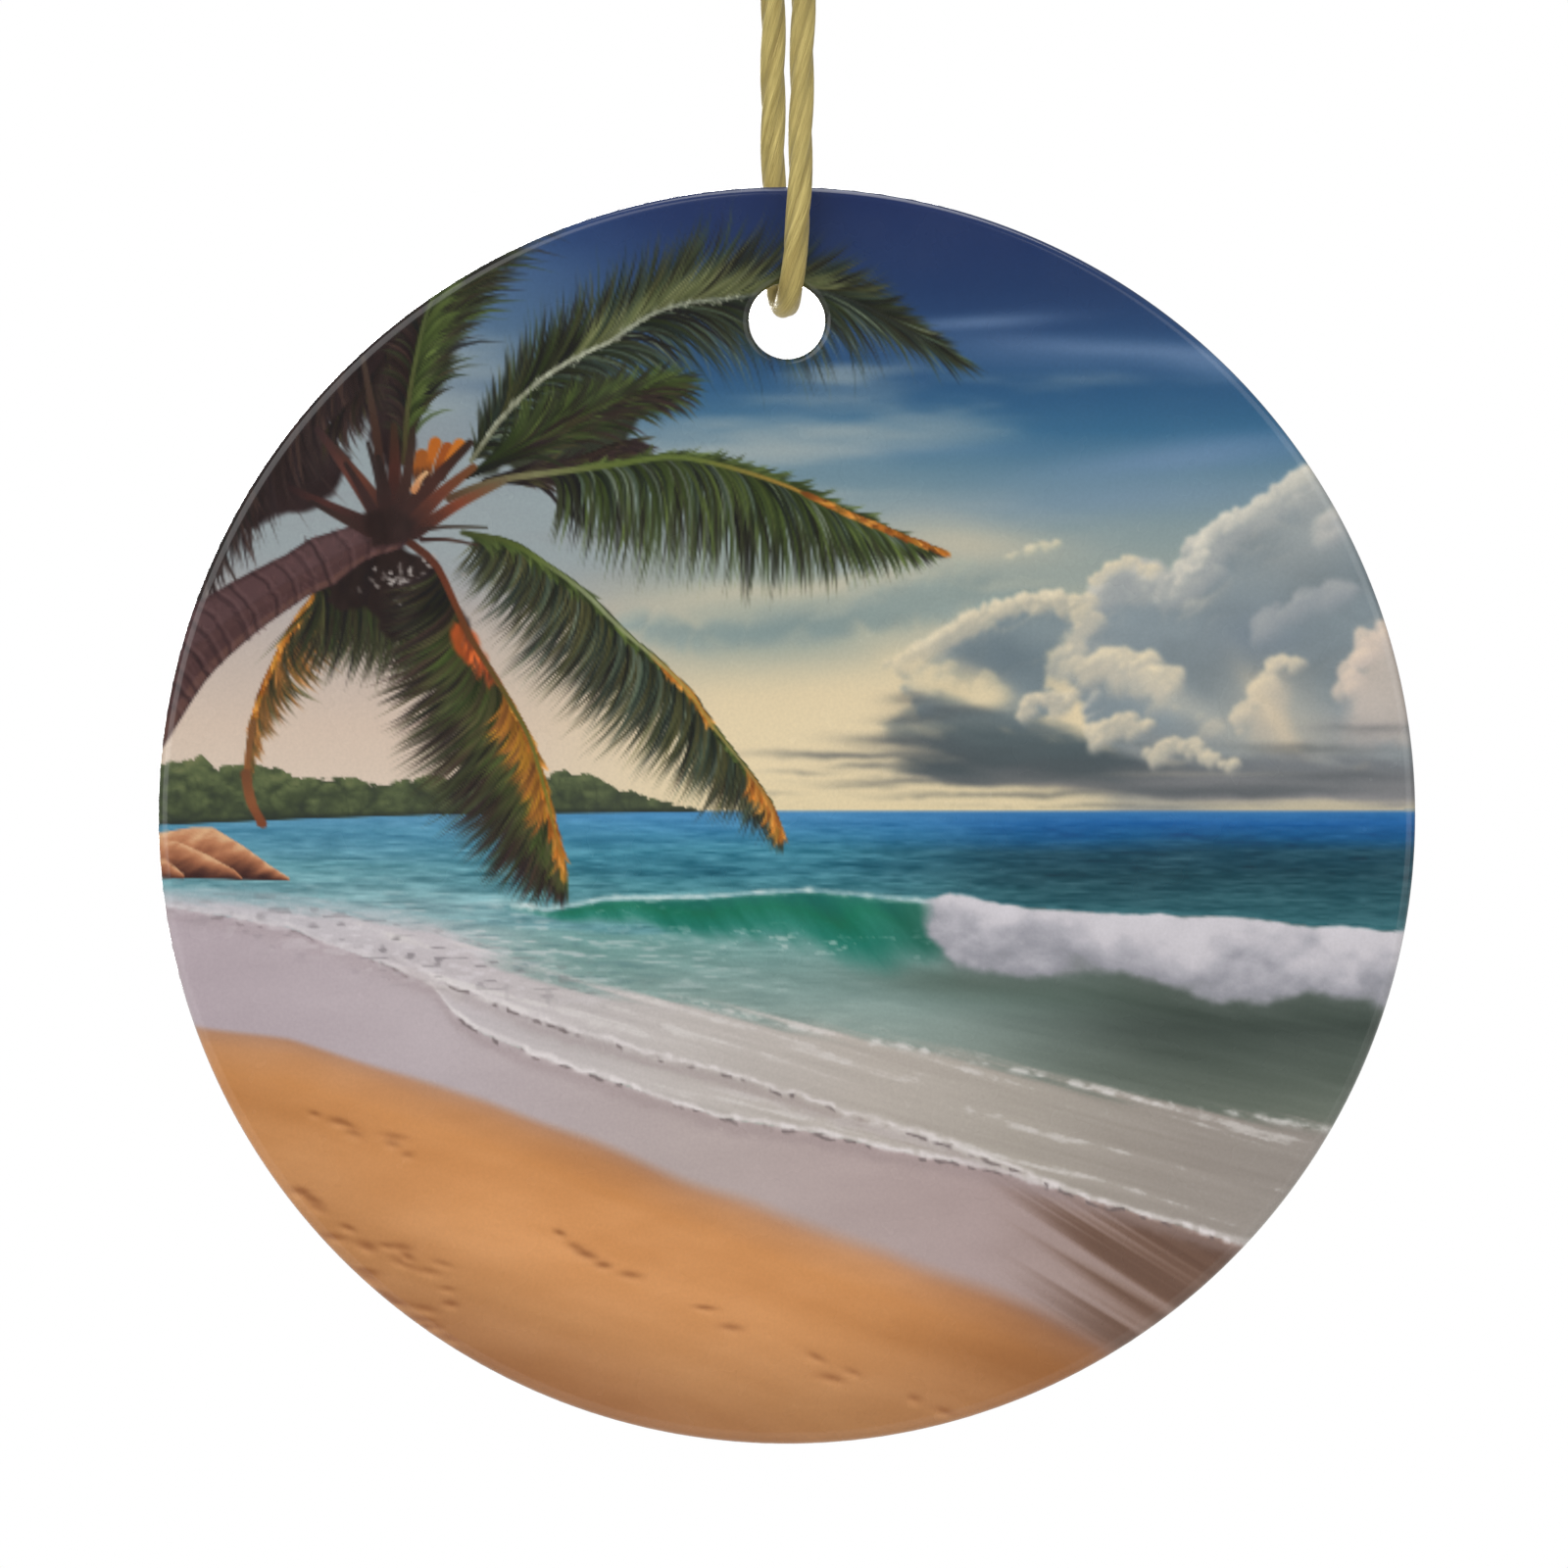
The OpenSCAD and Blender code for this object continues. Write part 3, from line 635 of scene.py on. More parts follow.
def rib(picture, rachis, width, colours, opacity=1.0):
    """A rachis or petiole that narrows to its end."""
    points = smooth(rachis, 24)
    t = np.linspace(0, 1, 24)
    shade = np.stack([np.interp(t, np.linspace(0, 1, len(colours)), [c[k] for c in colours]) for k in range(3)], axis=-1)
    stroke(picture, points, at_stops([(0, width[0]), (1, width[1])], t), shade, opacity)


def mass(picture, outline, colour, seed, rough=0.6, opacity=1.0):
    """A soft-edged patch of one colour, inside an outline."""
    p = np.asarray(outline, float)
    rows, columns = window(p[:, 0].min() - 1, p[:, 0].max() + 1, p[:, 1].min() - 1, p[:, 1].max() + 1)
    u, v = U[rows, columns], V[rows, columns]
    inside = np.zeros(u.shape, bool)
    nearest = np.full(u.shape, 9.0)
    for a, b in zip(p, np.roll(p, -1, axis=0)):
        cross = (a[1] > v) != (b[1] > v)
        inside ^= cross & (u < (b[0] - a[0]) * (v - a[1]) / (b[1] - a[1] + 1e-9) + a[0])
        along = b - a
        t = np.clip(((u - a[0]) * along[0] + (v - a[1]) * along[1]) / (along @ along), 0, 1)
        nearest = np.minimum(nearest, np.hypot(u - a[0] - t * along[0], v - a[1] - t * along[1]))
    depth = np.where(inside, nearest, -nearest) + rough * fractal(u, v, 1.6, 1.6, seed, 3)
    cover = opacity * smoothstep(-0.15, 0.35, depth)
    part = picture[rows, columns]
    tone = 1 + 0.25 * fractal(u, v, 0.8, 1.6, seed + 5, 3)
    part += cover[..., None] * (np.asarray(colour, float) * tone[..., None] - part)


def palm_back(picture):
    """The fronds behind the crown: those along the rim, the upright one and the long arching one."""
    # dark fronds along the rim, hanging
    mass(picture, [(-20, 32), (-25, 28.4), (-29.6, 24), (-33.6, 18), (-35, 14), (-32.8, 16), (-30.4, 17), (-28, 17.8),
                   (-26.2, 18.6), (-25.2, 20.8), (-26.6, 21.8), (-26.4, 23), (-24.6, 23.2), (-24.2, 21.6), (-23, 19.6), (-21.6, 20.6),
                   (-21.4, 26)], (43, 32, 32), 201, 0.5)
    leaflets(picture, [(-24.2, 28.4), (-28.6, 24.4), (-32, 19.8), (-34.6, 14.6), (-36, 9.5)], 330, [(0, 5.6), (0.35, 7), (0.7, 6.6), (1, 4)], [(0, -84), (0.5, -98), (1, -108)], BROWN, 202, 0.13, 0.3, 8)
    leaflets(picture, [(-30.6, 21.8), (-32.6, 18.4), (-34.4, 14.6)], 130, [(0, 3.6), (0.5, 4.6), (1, 4.4)], [(0, -82), (1, -104)], BROWN + DARK[:1], 203, 0.12, 0.3, 9)
    leaflets(picture, [(-22.5, 27.8), (-24.4, 25), (-26.5, 22.6)], 100, [(0, 2.6), (1, 2.6)], [(0, -72), (1, -96)], BROWN + OLIVE[:2], 204, 0.12, 0.3, 10)
    # upright frond
    upright = [(-22.2, 20.5), (-22, 23.6), (-21.5, 26.6), (-20.8, 29.4), (-19.4, 32.4)]
    leaflets(picture, upright, 150, [(0, 2.4), (0.5, 3), (1, 3)], [(0, 120), (0.5, 128), (1, 140)], BROWN + DARK[1:3], 205, 0.13, 0.7, 6)
    leaflets(picture, upright, 560, [(0, 5), (0.2, 7), (0.5, 8.4), (0.8, 8), (1, 6.8)], [(0, 64), (0.3, 54), (0.6, 42), (1, 28)],
             DARK + GREEN[:3] + OLIVE[:2], 206, 0.15, 0.6, 7)
    leaflets(picture, upright, 110, [(0, 2), (0.3, 3.4), (1, 4.5)], [(0, 56), (1, 44)], GREEN[1:4], 207, 0.11, 0.6, 7, (0.1, 0.8))
    rib(picture, upright, (0.16, 0.05), ((70, 60, 40), (84, 92, 52), (70, 80, 50)))
    # long arching frond: upper side, then the side that hangs
    arch = [(-18.3, 20.6), (-16.5, 23.1), (-14.5, 25.1), (-12.2, 26.6), (-10.4, 27.4), (-9, 28.4), (-7.6, 29.2), (-5.5, 29.8), (-2.5, 30.1), (0.5, 30.6), (4, 29.8), (8.4, 27.4)]
    leaflets(picture, arch, 620, [(0, 3), (0.12, 5.6), (0.3, 7), (0.45, 7.2), (0.6, 6.2), (0.72, 4.8), (0.85, 3), (1, 2)],
             [(0, 86), (0.15, 72), (0.35, 60), (0.5, 48), (0.6, 34), (0.72, 14), (0.85, -2), (1, -20)],
             DARK + TEAL[:2] + GREEN[:2] + OLIVE[2:3], 208, 0.085, 0.35, 6)
    leaflets(picture, arch, 180, [(0.2, 4), (0.5, 4.6), (0.6, 4), (0.8, 2.4)], [(0.2, 66), (0.5, 44), (0.6, 30), (0.8, 4)],
             ((120, 124, 84), (98, 104, 64), (84, 92, 60)), 211, 0.06, 0.35, 6, (0.25, 0.75))
    leaflets(picture, arch, 520, [(0, 2), (0.2, 4.6), (0.4, 6.4), (0.55, 7.4), (0.7, 7), (0.85, 5.4), (1, 3.6)],
             [(0, -4), (0.2, -18), (0.45, -38), (0.6, -46), (0.8, -38), (1, -34)], DARK + TEAL + GREEN[:2], 209, 0.075, 0.4, 7)
    rib(picture, arch, (0.14, 0.03), ((120, 120, 96), (170, 172, 150), (140, 146, 126), (60, 66, 60), (40, 46, 48)), 0.9)
    beads(picture, arch, 90, 210, (0.05, 0.62), (178, 182, 160))


def beads(picture, rachis, count, seed, span, colour):
    """Short pale dashes where leaflets leave a rachis."""
    rng = np.random.default_rng(seed)
    path = smooth(rachis, 200)
    for t in np.linspace(span[0], span[1], count):
        at = path[int(t * 199)] + rng.normal(0, 0.1, 2)
        points = np.array([at - (0.1, 0.14), at + (0.1, 0.14)])
        shade = np.array([colour, colour], float) * rng.uniform(0.8, 1.15)
        stroke(picture, points, np.array([0.06, 0.03]), shade, rng.uniform(0.3, 0.9))


def palm_middle(picture):
    """The broad green brush-like frond, the right frond and the two that hang to the right."""
    # broad green frond: leaflets nearly along it
    broad = [(-18.6, 19.6), (-16, 20.9), (-13.6, 22.2), (-11.4, 23.3), (-9.4, 24.2)]
    mass(picture, [(-18, 19.6), (-16.4, 22), (-13.4, 24.6), (-10.4, 25.6), (-8.4, 25), (-8.8, 22.6), (-9.6, 20.8), (-12, 20.2),
                   (-15, 19.8)], (44, 46, 32), 223, 0.8, 0.9)
    leaflets(picture, [(-17.6, 19.4), (-14, 20), (-10.6, 21.2)], 230, [(0, 3.4), (0.5, 3.6), (1, 3.2)], [(0, 8), (0.5, 2), (1, -4)], BROWN + OLIVE[:2], 220, 0.16, 0.5, 12)
    leaflets(picture, broad, 420, [(0, 6), (0.3, 6.4), (0.7, 5.4), (1, 4.6)], [(0, 50), (0.3, 40), (0.7, 28), (1, 14)],
             GREEN + DARK[1:3], 221, 0.14, 0.6, 7)
    leaflets(picture, broad, 260, [(0, 6), (0.5, 5.6), (1, 4.6)], [(0, 26), (0.5, 14), (1, 0)], GREEN[:3] + OLIVE[:2] + BROWN[:2],
             222, 0.14, 0.6, 8)
    # right frond
    right = [(-19.6, 18.4), (-17, 19.4), (-13.6, 19.9), (-10.4, 20.3), (-6.9, 20.8), (-4.1, 20.4), (-0.2, 19.2), (3.3, 17.6), (8.5, 15.5)]
    leaflets(picture, right, 420, [(0.15, 1.5), (0.2, 4), (0.3, 6.4), (0.5, 8), (0.65, 7), (0.8, 4.6), (0.93, 2.6), (1, 1)], [(0, -88), (0.3, -82), (0.55, -76), (0.75, -62), (0.9, -48), (1, -30)], DARK + GREEN[:4], 230, 0.115, 0.32, 4.5, (0.2, 1))
    leaflets(picture, right, 170, [(0.15, 1), (0.3, 4), (0.5, 5.4), (0.7, 4.4), (0.85, 2.8), (1, 1)], [(0, -80), (0.5, -72), (0.75, -56), (1, -30)], GREEN[1:] + TEAL[2:], 231, 0.09, 0.35, 5, (0.25, 0.95))
    leaflets(picture, right, 190, [(0.2, 1), (0.4, 1.6), (0.6, 2.2), (0.8, 2.2), (1, 1.2)], [(0.2, 24), (0.5, 6), (0.75, -16), (1, -24)], GREEN[1:4], 232, 0.12, 0.4, 9, (0.25, 0.9))
    rib(picture, right, (0.22, 0.05), ((84, 62, 46), (120, 118, 84), (90, 104, 50), (96, 110, 54), (150, 120, 56), (190, 130, 50), (182, 120, 46)))
    leaflets(picture, right, 70, [(0.6, 1.3), (1, 1.1)], [(0.6, -14), (1, -30)], ORANGE, 233, 0.13, 0.6, 7, (0.72, 1))
    # frond that hangs to the lower right
    lower = [(-18.8, 16.4), (-16.2, 15.9), (-14, 14.6), (-11.8, 13.0), (-9.6, 10.8), (-7.4, 8.9), (-5.7, 7.2), (-4.4, 5.3), (-2.5, 2.9), (-1.1, 0.9), (-0.5, -0.4)]
    leaflets(picture, lower, 520, [(0, 2.4), (0.1, 4.4), (0.25, 6.6), (0.5, 6.8), (0.75, 5), (0.9, 3.2), (1, 2)], [(0, -112), (0.2, -118), (0.5, -112), (0.75, -102), (1, -86)], TEAL[:2] + DARK + OLIVE[1:3], 240, 0.095, 0.3, 6, (0.02, 1))
    leaflets(picture, lower, 200, [(0, 2), (0.25, 4.6), (0.5, 5), (0.75, 3.8), (1, 1.4)], [(0, -104), (0.5, -106), (1, -86)], OLIVE[2:4] + TEAL[2:], 241, 0.07, 0.32, 7, (0.1, 1))
    leaflets(picture, lower, 260, [(0, 2), (0.2, 2.4), (0.5, 1.6), (1, 0.9)], [(0, -40), (0.3, -52), (0.7, -58), (1, -74)], GREEN[:4], 242, 0.14, 0.7, 7, (0, 0.95))
    leaflets(picture, lower, 50, [(0, 1), (1, 1.2)], [(0, -44), (1, -66)], ORANGE[1:3], 243, 0.11, 0.6, 9, (0.52, 0.7))
    leaflets(picture, lower, 70, [(0, 1.4), (1, 1.8)], [(0, -84), (1, -84)], ORANGE, 244, 0.1, 0.5, 12, (0.86, 1))
    rib(picture, lower, (0.16, 0.05), ((60, 66, 34), (90, 104, 50), (150, 158, 120), (150, 156, 110), (170, 140, 60), (150, 140, 90), (170, 110, 40)), 0.85)


def palm_front(picture):
    """The trunk, the petioles and the fronds that hang under the crown."""
    # dead frond, hanging left
    dead = [(-26.8, 13.6), (-28.7, 11), (-29.8, 8.8), (-30.6, 6.9), (-31.1, 4.8), (-31.2, 2.6)]
    leaflets(picture, dead, 260, [(0, 4.2), (0.4, 3.6), (0.8, 2), (1, 0.9)], [(0, -64), (0.5, -76), (1, -90)],
             ((128, 84, 44), (150, 100, 52), (96, 70, 40), (170, 112, 56)) + OLIVE[1:3], 250, 0.12, 0.4, 9)
    leaflets(picture, dead, 90, [(0, 1.4), (1, 0.7)], [(0, -120), (1, -96)], ORANGE, 251, 0.11, 0.5, 9, (0, 0.8))
    rib(picture, [(-31, 5.4), (-31.3, 2.6), (-31, 0.9), (-30.6, -0.5)], (0.2, 0.16), ((118, 80, 48), (134, 86, 52), (120, 70, 46)))
    rib(picture, [(-31.4, 2.4), (-31.1, 0.8), (-30.4, -0.5)], (0.3, 0.24), ((112, 72, 48), (134, 82, 52), (118, 66, 44)))
    leaflets(picture, [(-27.4, 13.2), (-25, 13.6), (-22, 13.6), (-20, 12.4)], 300, [(0, 5.4), (0.4, 6), (0.7, 6), (1, 5)], [(0, -104), (0.5, -100), (1, -106)], OLIVE[:3] + GREEN[:2] + DARK, 252, 0.12, 0.2, 10)
    # hollow under the crown
    mass(picture, [(-26, 15), (-22.5, 15.8), (-20.2, 14.8), (-19, 12.2), (-18.2, 9.6), (-20.5, 10), (-23.4, 10.6), (-26.6, 12.4)], (40, 30, 28), 253, 0.9)
    rng = np.random.default_rng(272)
    for _ in range(46):
        at = np.array((-21.6, 13.5)) + rng.normal(0, 1, 2) * (1.2, 0.55)
        points = np.array([at, at + rng.normal(0, 0.16, 2)])
        stroke(picture, points, np.array([0.11, 0.07]), np.array([(168, 160, 156)] * 2, float), rng.uniform(0.3, 0.9))
    # big frond that hangs straight down
    down = [(-22.4, 16.2), (-20.5, 14.7), (-19.4, 12.6), (-18.4, 10.4), (-17.1, 8.3), (-15.9, 6.3), (-14.9, 4.4), (-14.2, 2.1), (-13.7, 0.1), (-13, -2.8)]
    leaflets(picture, down, 640, [(0.1, 3), (0.3, 6.4), (0.5, 8), (0.7, 7.4), (0.85, 5.4), (1, 2.6)],
             [(0.1, -152), (0.3, -140), (0.5, -129), (0.7, -119), (0.9, -106), (1, -92)], OLIVE[:2] + DARK + BROWN[:3], 254, 0.125, 0.25, 6, (0.12, 1))
    leaflets(picture, down, 240, [(0.1, 3), (0.4, 5.4), (0.7, 5), (1, 2)], [(0.1, -140), (0.4, -126), (0.7, -112), (1, -94)], OLIVE[2:4] + GREEN[1:3], 255, 0.1, 0.3, 6, (0.25, 1))
    leaflets(picture, down, 230, [(0.3, 4.4), (0.6, 5), (0.9, 3.4), (1, 1.8)], [(0.3, -104), (0.6, -100), (0.9, -92), (1, -84)], GREEN[1:3] + OLIVE[1:3], 256, 0.13, 0.5, 5, (0.34, 0.98))
    leaflets(picture, down, 90, [(0.5, 3), (1, 3)], [(0.5, -112), (1, -102)], ((150, 96, 40), (128, 80, 40), (180, 126, 40)), 257, 0.13, 0.4, 9, (0.5, 0.8))
    mass(picture, [(-19.8, 11.9), (-18.6, 11.4), (-17.4, 9), (-18.6, 8.2), (-19.6, 9.6)], (172, 76, 36), 258, 0.7, 0.85)
    leaflets(picture, down, 60, [(0.2, 2), (0.5, 1.8)], [(0.2, -80), (0.5, -76)], ((184, 88, 42), (150, 66, 34), (110, 60, 36)), 259, 0.13, 0.5, 10, (0.26, 0.42))
    leaflets(picture, down, 150, [(0.5, 0.9), (0.8, 2.2), (1, 2)], [(0.5, -62), (0.8, -78), (1, -84)], ORANGE, 260, 0.12, 0.6, 8, (0.5, 0.97))
    rib(picture, down, (0.24, 0.05), ((70, 42, 34), (104, 54, 36), (96, 66, 36), (94, 92, 42), (112, 112, 46), (170, 112, 44)))
    trunk(picture)
    # petioles
    red, deep = (104, 58, 44), (54, 36, 34)
    for end, start, width, colours in (
        ((-27.2, 22.4), (-23.4, 16.9), 0.5, (deep, (96, 58, 50), (56, 40, 40))),
        ((-26.2, 21.4), (-23, 17.4), 0.3, (deep, (98, 58, 46), (66, 46, 42))),
        ((-28.8, 19), (-24.4, 16.9), 0.46, (deep, (74, 44, 40), (48, 34, 34))),
        ((-24.6, 26.6), (-23.4, 18.2), 0.34, (deep, (66, 46, 38), (70, 58, 50))),
        ((-22.8, 22.6), (-23, 17.6), 0.5, (deep, (72, 42, 36), (60, 44, 34))),
        ((-21.7, 22.4), (-22.6, 17.4), 0.46, (deep, (66, 46, 40), (52, 42, 34))),
        ((-25.6, 20.4), (-23.8, 17.2), 0.34, (deep, (60, 42, 40), (50, 38, 36))),
        ((-24.3, 21.6), (-23.4, 17.6), 0.3, (deep, (52, 40, 38), (54, 46, 44))),
        ((-23.7, 20.8), (-23.2, 17.6), 0.34, (deep, (50, 36, 34), (44, 36, 34))),
        ((-21, 20.6), (-22.2, 17.4), 0.36, (deep, (62, 42, 36), (50, 40, 34))),
        ((-27.6, 18.2), (-24.2, 16.4), 0.3, (deep, (58, 40, 36), (46, 36, 34))),
    ):
        middle = ((start[0] + end[0]) / 2 + 0.15, (start[1] + end[1]) / 2 - 0.1)
        rib(picture, [start, middle, end], (width, 0.4 * width), colours)
    for top, low, shade in (
        ((-20.4, 21.6), (-20.9, 19.4), (178, 98, 36)),
        ((-19.7, 21.3), (-20.4, 19.4), (150, 78, 34)),
        ((-19, 21.5), (-20, 19.6), (190, 110, 40)),
        ((-21.2, 20.9), (-21.4, 19.4), (150, 84, 36)),
    ):
        rib(picture, [low, ((low[0] + top[0]) / 2 - 0.1, (low[1] + top[1]) / 2), top], (0.2, 0.36), (deep, shade, shade))
    rib(picture, [(-21.6, 18.9), (-21.3, 19.5), (-20.9, 19.9)], (0.24, 0.1), ((206, 140, 92), (232, 190, 140)), 0.9)
    for end, start, width, colours in (
        ((-18.4, 21.6), (-22.4, 16.8), 0.5, (deep, (70, 44, 38), (52, 38, 32))),
        ((-18.2, 20.2), (-22, 16.6), 0.5, (deep, red, (110, 70, 44))),
        ((-16.4, 19.4), (-21.6, 16.4), 0.42, (deep, (122, 64, 44), (104, 92, 68))),
        ((-17.4, 16.7), (-21.6, 16.5), 0.13, (deep, (60, 48, 40), (52, 48, 36))),
        ((-18, 15.7), (-21.2, 16), 0.14, (deep, (70, 48, 40), (60, 46, 40))),
    ):
        middle = ((start[0] + end[0]) / 2 - 0.1, (start[1] + end[1]) / 2 + 0.15)
        rib(picture, [start, middle, end], (width, 0.45 * width), colours)
    mass(picture, [(-24.6, 17.6), (-22.8, 17.9), (-21.4, 17), (-21.6, 15.8), (-24, 15.6)], (48, 34, 32), 271, 0.5)


def trunk(picture):
    """The leaning trunk, ringed by old leaf scars."""
    path = smooth([(-38, 5.6), (-35.2, 9.2), (-32.2, 11.6), (-29.7, 13.2), (-27.2, 14.6), (-24.8, 15.8), (-22.8, 16.2)], 90)
    t = np.linspace(0, 1, 90)
    half = at_stops([(0, 2.4), (0.2, 2.1), (0.45, 1.65), (0.68, 1.35), (0.76, 1.5), (0.84, 1.2), (1, 0.8)], t)
    turn = np.gradient(path, axis=0)
    turn /= np.hypot(*turn.T)[:, None]
    across = np.stack([-turn[:, 1], turn[:, 0]], axis=-1)
    stroke(picture, path, half, np.repeat([(62, 43, 45)], 90, axis=0).astype(float))
    bands = ((0.3, 0.66, (84, 61, 61)), (0.4, 0.42, (94, 69, 70)), (-0.5, 0.42, (84, 58, 56)), (-0.84, 0.12, (108, 76, 66)))
    for lean, size, colour in bands:
        shade = np.repeat([colour], 90, axis=0).astype(float)
        stroke(picture, path + across * (lean * half)[:, None], half * size, shade, 0.6)
    rng = np.random.default_rng(281)
    k = 8.0
    while k < 88:
        s = np.linspace(-0.96, 0.96, 9)[:, None]
        i = int(k)
        bow = rng.uniform(0.2, 0.5)
        points = path[i] + across[i] * s * half[i] + turn[i] * (bow * (1 - s**2)) + rng.normal(0, 0.04, (9, 2))
        shade = np.repeat([(46, 32, 34)], 9, axis=0) * rng.uniform(0.85, 1.25)
        stroke(picture, points, np.full(9, rng.uniform(0.08, 0.17)), shade, rng.uniform(0.3, 0.7))
        stroke(picture, points + 0.28 * turn[i], np.full(9, 0.1), np.repeat([(112, 84, 84)], 9, axis=0).astype(float), 0.3)
        k += rng.uniform(4.2, 7.2)
    for _ in range(260):
        i = rng.integers(4, 86)
        s = rng.uniform(-0.9, 0.9)
        at = path[i] + across[i] * s * half[i]
        points = np.array([at, at + across[i] * rng.uniform(-0.5, 0.5) + turn[i] * rng.uniform(0, 0.3)])
        stroke(picture, points, np.array([0.07, 0.05]), np.array([(80, 57, 57)] * 2) * rng.uniform(0.7, 1.3), 0.45)


def palm(picture):
    palm_back(picture)
    palm_middle(picture)
    palm_front(picture)

# ---------------------------------------------------------------- frame and sizes
DISC_LOW, DISC_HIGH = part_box("ceramic_disc")
DISC_R = (DISC_HIGH[0] - DISC_LOW[0]) / 2 / MM
DISC_Z = (DISC_HIGH[2] + DISC_LOW[2]) / 2 / MM
RIM_R = 0.6
FRONT_Y = -1.5
SKIN = 0.15
SKIN_BACK_Y = -0.9
HOLE_R = 2.2
HOLE_Z = -68.0
MOUTH_R = 0.4
CORD_D = 1.5


def srgb(r, g, b):
    """Linear colour from 0 to 255 screen values."""
    return tuple(((c / 255 + 0.055) / 1.055) ** 2.4 if c > 10 else c / 255 / 12.92 for c in (r, g, b)) + (1,)


def new_object(name, vertices, faces, material):
    mesh = bpy.data.meshes.new(name)
    mesh.from_pydata(vertices, [], faces)
    mesh.materials.append(material)
    mesh.shade_smooth()
    made = bpy.data.objects.new(name, mesh)
    bpy.context.scene.collection.objects.link(made)
    return made


# ---------------------------------------------------------------- camera
def add_camera():
    """The photograph's straight-on view from about a metre away."""
    data = bpy.data.cameras.new("camera")
    data.sensor_width = 36
    data.lens = 395
    data.clip_start = 0.05
    camera = bpy.data.objects.new("camera", data)
    camera.location = (-0.16 * MM, -1.0, (DISC_Z + 1.82) * MM)
    camera.rotation_euler = (math.pi / 2, 0, 0)
    bpy.context.scene.collection.objects.link(camera)
    bpy.context.scene.camera = camera


# ---------------------------------------------------------------- materials
class Nodes:
    """Short forms for building a material's nodes."""

    def __init__(self, name):
        self.material = bpy.data.materials.new(name)
        self.material.use_nodes = True
        self.tree = self.material.node_tree
        self.shader = self.tree.nodes["Principled BSDF"]

    def add(self, kind, settings=(), **sockets):
        node = self.tree.nodes.new(kind)
        for key, value in dict(settings).items():
            setattr(node, key, value)
        for key, value in sockets.items():
            self.feed(node, key.replace("_", " "), value)
        return node

    def feed(self, node, socket, value):
        target = node.inputs[int(socket)] if socket.isdigit() else node.inputs[socket]
        if isinstance(value, bpy.types.NodeSocket):
            self.tree.links.new(value, target)
        else:
            target.default_value = value

    def set(self, **sockets):
        for key, value in sockets.items():
            self.feed(self.shader, key.replace("_", " "), value)

    def attribute(self, name):
        return self.add("ShaderNodeAttribute", {"attribute_name": name})

    def noise(self, vector, scale, detail=3.0, rough=0.5):
        node = self.add("ShaderNodeTexNoise", Scale=scale, Detail=detail, Roughness=rough)
        self.tree.links.new(vector, node.inputs["Vector"])
        return node.outputs["Fac"]

    def spread(self, value, low, high, to_low=0.0, to_high=1.0):
        node = self.add("ShaderNodeMapRange", {"clamp": True})
        for socket, number in zip(("From Min", "From Max", "To Min", "To Max"), (low, high, to_low, to_high)):
            node.inputs[socket].default_value = number
        self.tree.links.new(value, node.inputs["Value"])
        return node.outputs["Result"]

    def math(self, operation, a, b=0.0):
        node = self.add("ShaderNodeMath", {"operation": operation})
        self.feed(node, "0", a)
        self.feed(node, "1", b)
        return node.outputs[0]

    def stretch(self, vector, scale):
        node = self.add("ShaderNodeMapping", Scale=scale)
        self.tree.links.new(vector, node.inputs["Vector"])
        return node.outputs["Vector"]

    def mix(self, amount, a, b, blend="MIX"):
        node = self.add("ShaderNodeMix", {"data_type": "RGBA", "blend_type": blend})
        self.feed(node, "0", amount)
        self.feed(node, "6", a)
        self.feed(node, "7", b)
        return node.outputs[2]

    def bump(self, height, distance, strength=1.0):
        node = self.add("ShaderNodeBump", Strength=strength, Distance=distance)
        self.tree.links.new(height, node.inputs["Height"])
        self.tree.links.new(node.outputs["Normal"], self.shader.inputs["Normal"])

    def position(self):
        return self.add("ShaderNodeTexCoord").outputs["Object"]


def cord_material():
    """Satin gold thread: fibres that run with the plies, and painted shade that leaves their crowns lighter and darkens
    the grooves between them.
    """
    n = Nodes("gold_cord")
    fibre = n.attribute("fibre").outputs["Vector"]
    crown = n.attribute("crown").outputs["Fac"]
    fine = n.noise(n.stretch(fibre, (9, 9, 0.55)), 1.0, 2.0, 0.6)
    broad = n.noise(n.stretch(fibre, (2.6, 2.6, 0.16)), 1.0, 2.0)
    patch = n.noise(n.stretch(fibre, (0.6, 0.6, 0.12)), 1.0, 1.0)
    tone = n.math("ADD", n.math("MULTIPLY", fine, 0.5), n.math("MULTIPLY", broad, 0.5))
    colour = n.mix(n.spread(tone, 0.36, 0.64), srgb(162, 144, 80), srgb(210, 192, 120))
    colour = n.mix(n.spread(patch, 0.42, 0.62, 0, 0.5), colour, srgb(160, 140, 78))
    # painted shade: where crown is low, in the grooves between the plies, the colour is darkened toward a deep gold
    colour = n.mix(n.spread(crown, 0.0, 0.5, 0.4, 0.0), colour, srgb(128, 112, 62))
    n.set(Base_Color=colour, Roughness=n.spread(fine, 0.3, 0.7, 0.34, 0.52), Metallic=0.35)
    n.set(Sheen_Weight=0.15, Sheen_Roughness=0.4)
    n.bump(n.math("ADD", fine, n.math("MULTIPLY", broad, 0.6)), 0.09 * MM)
    return n.material


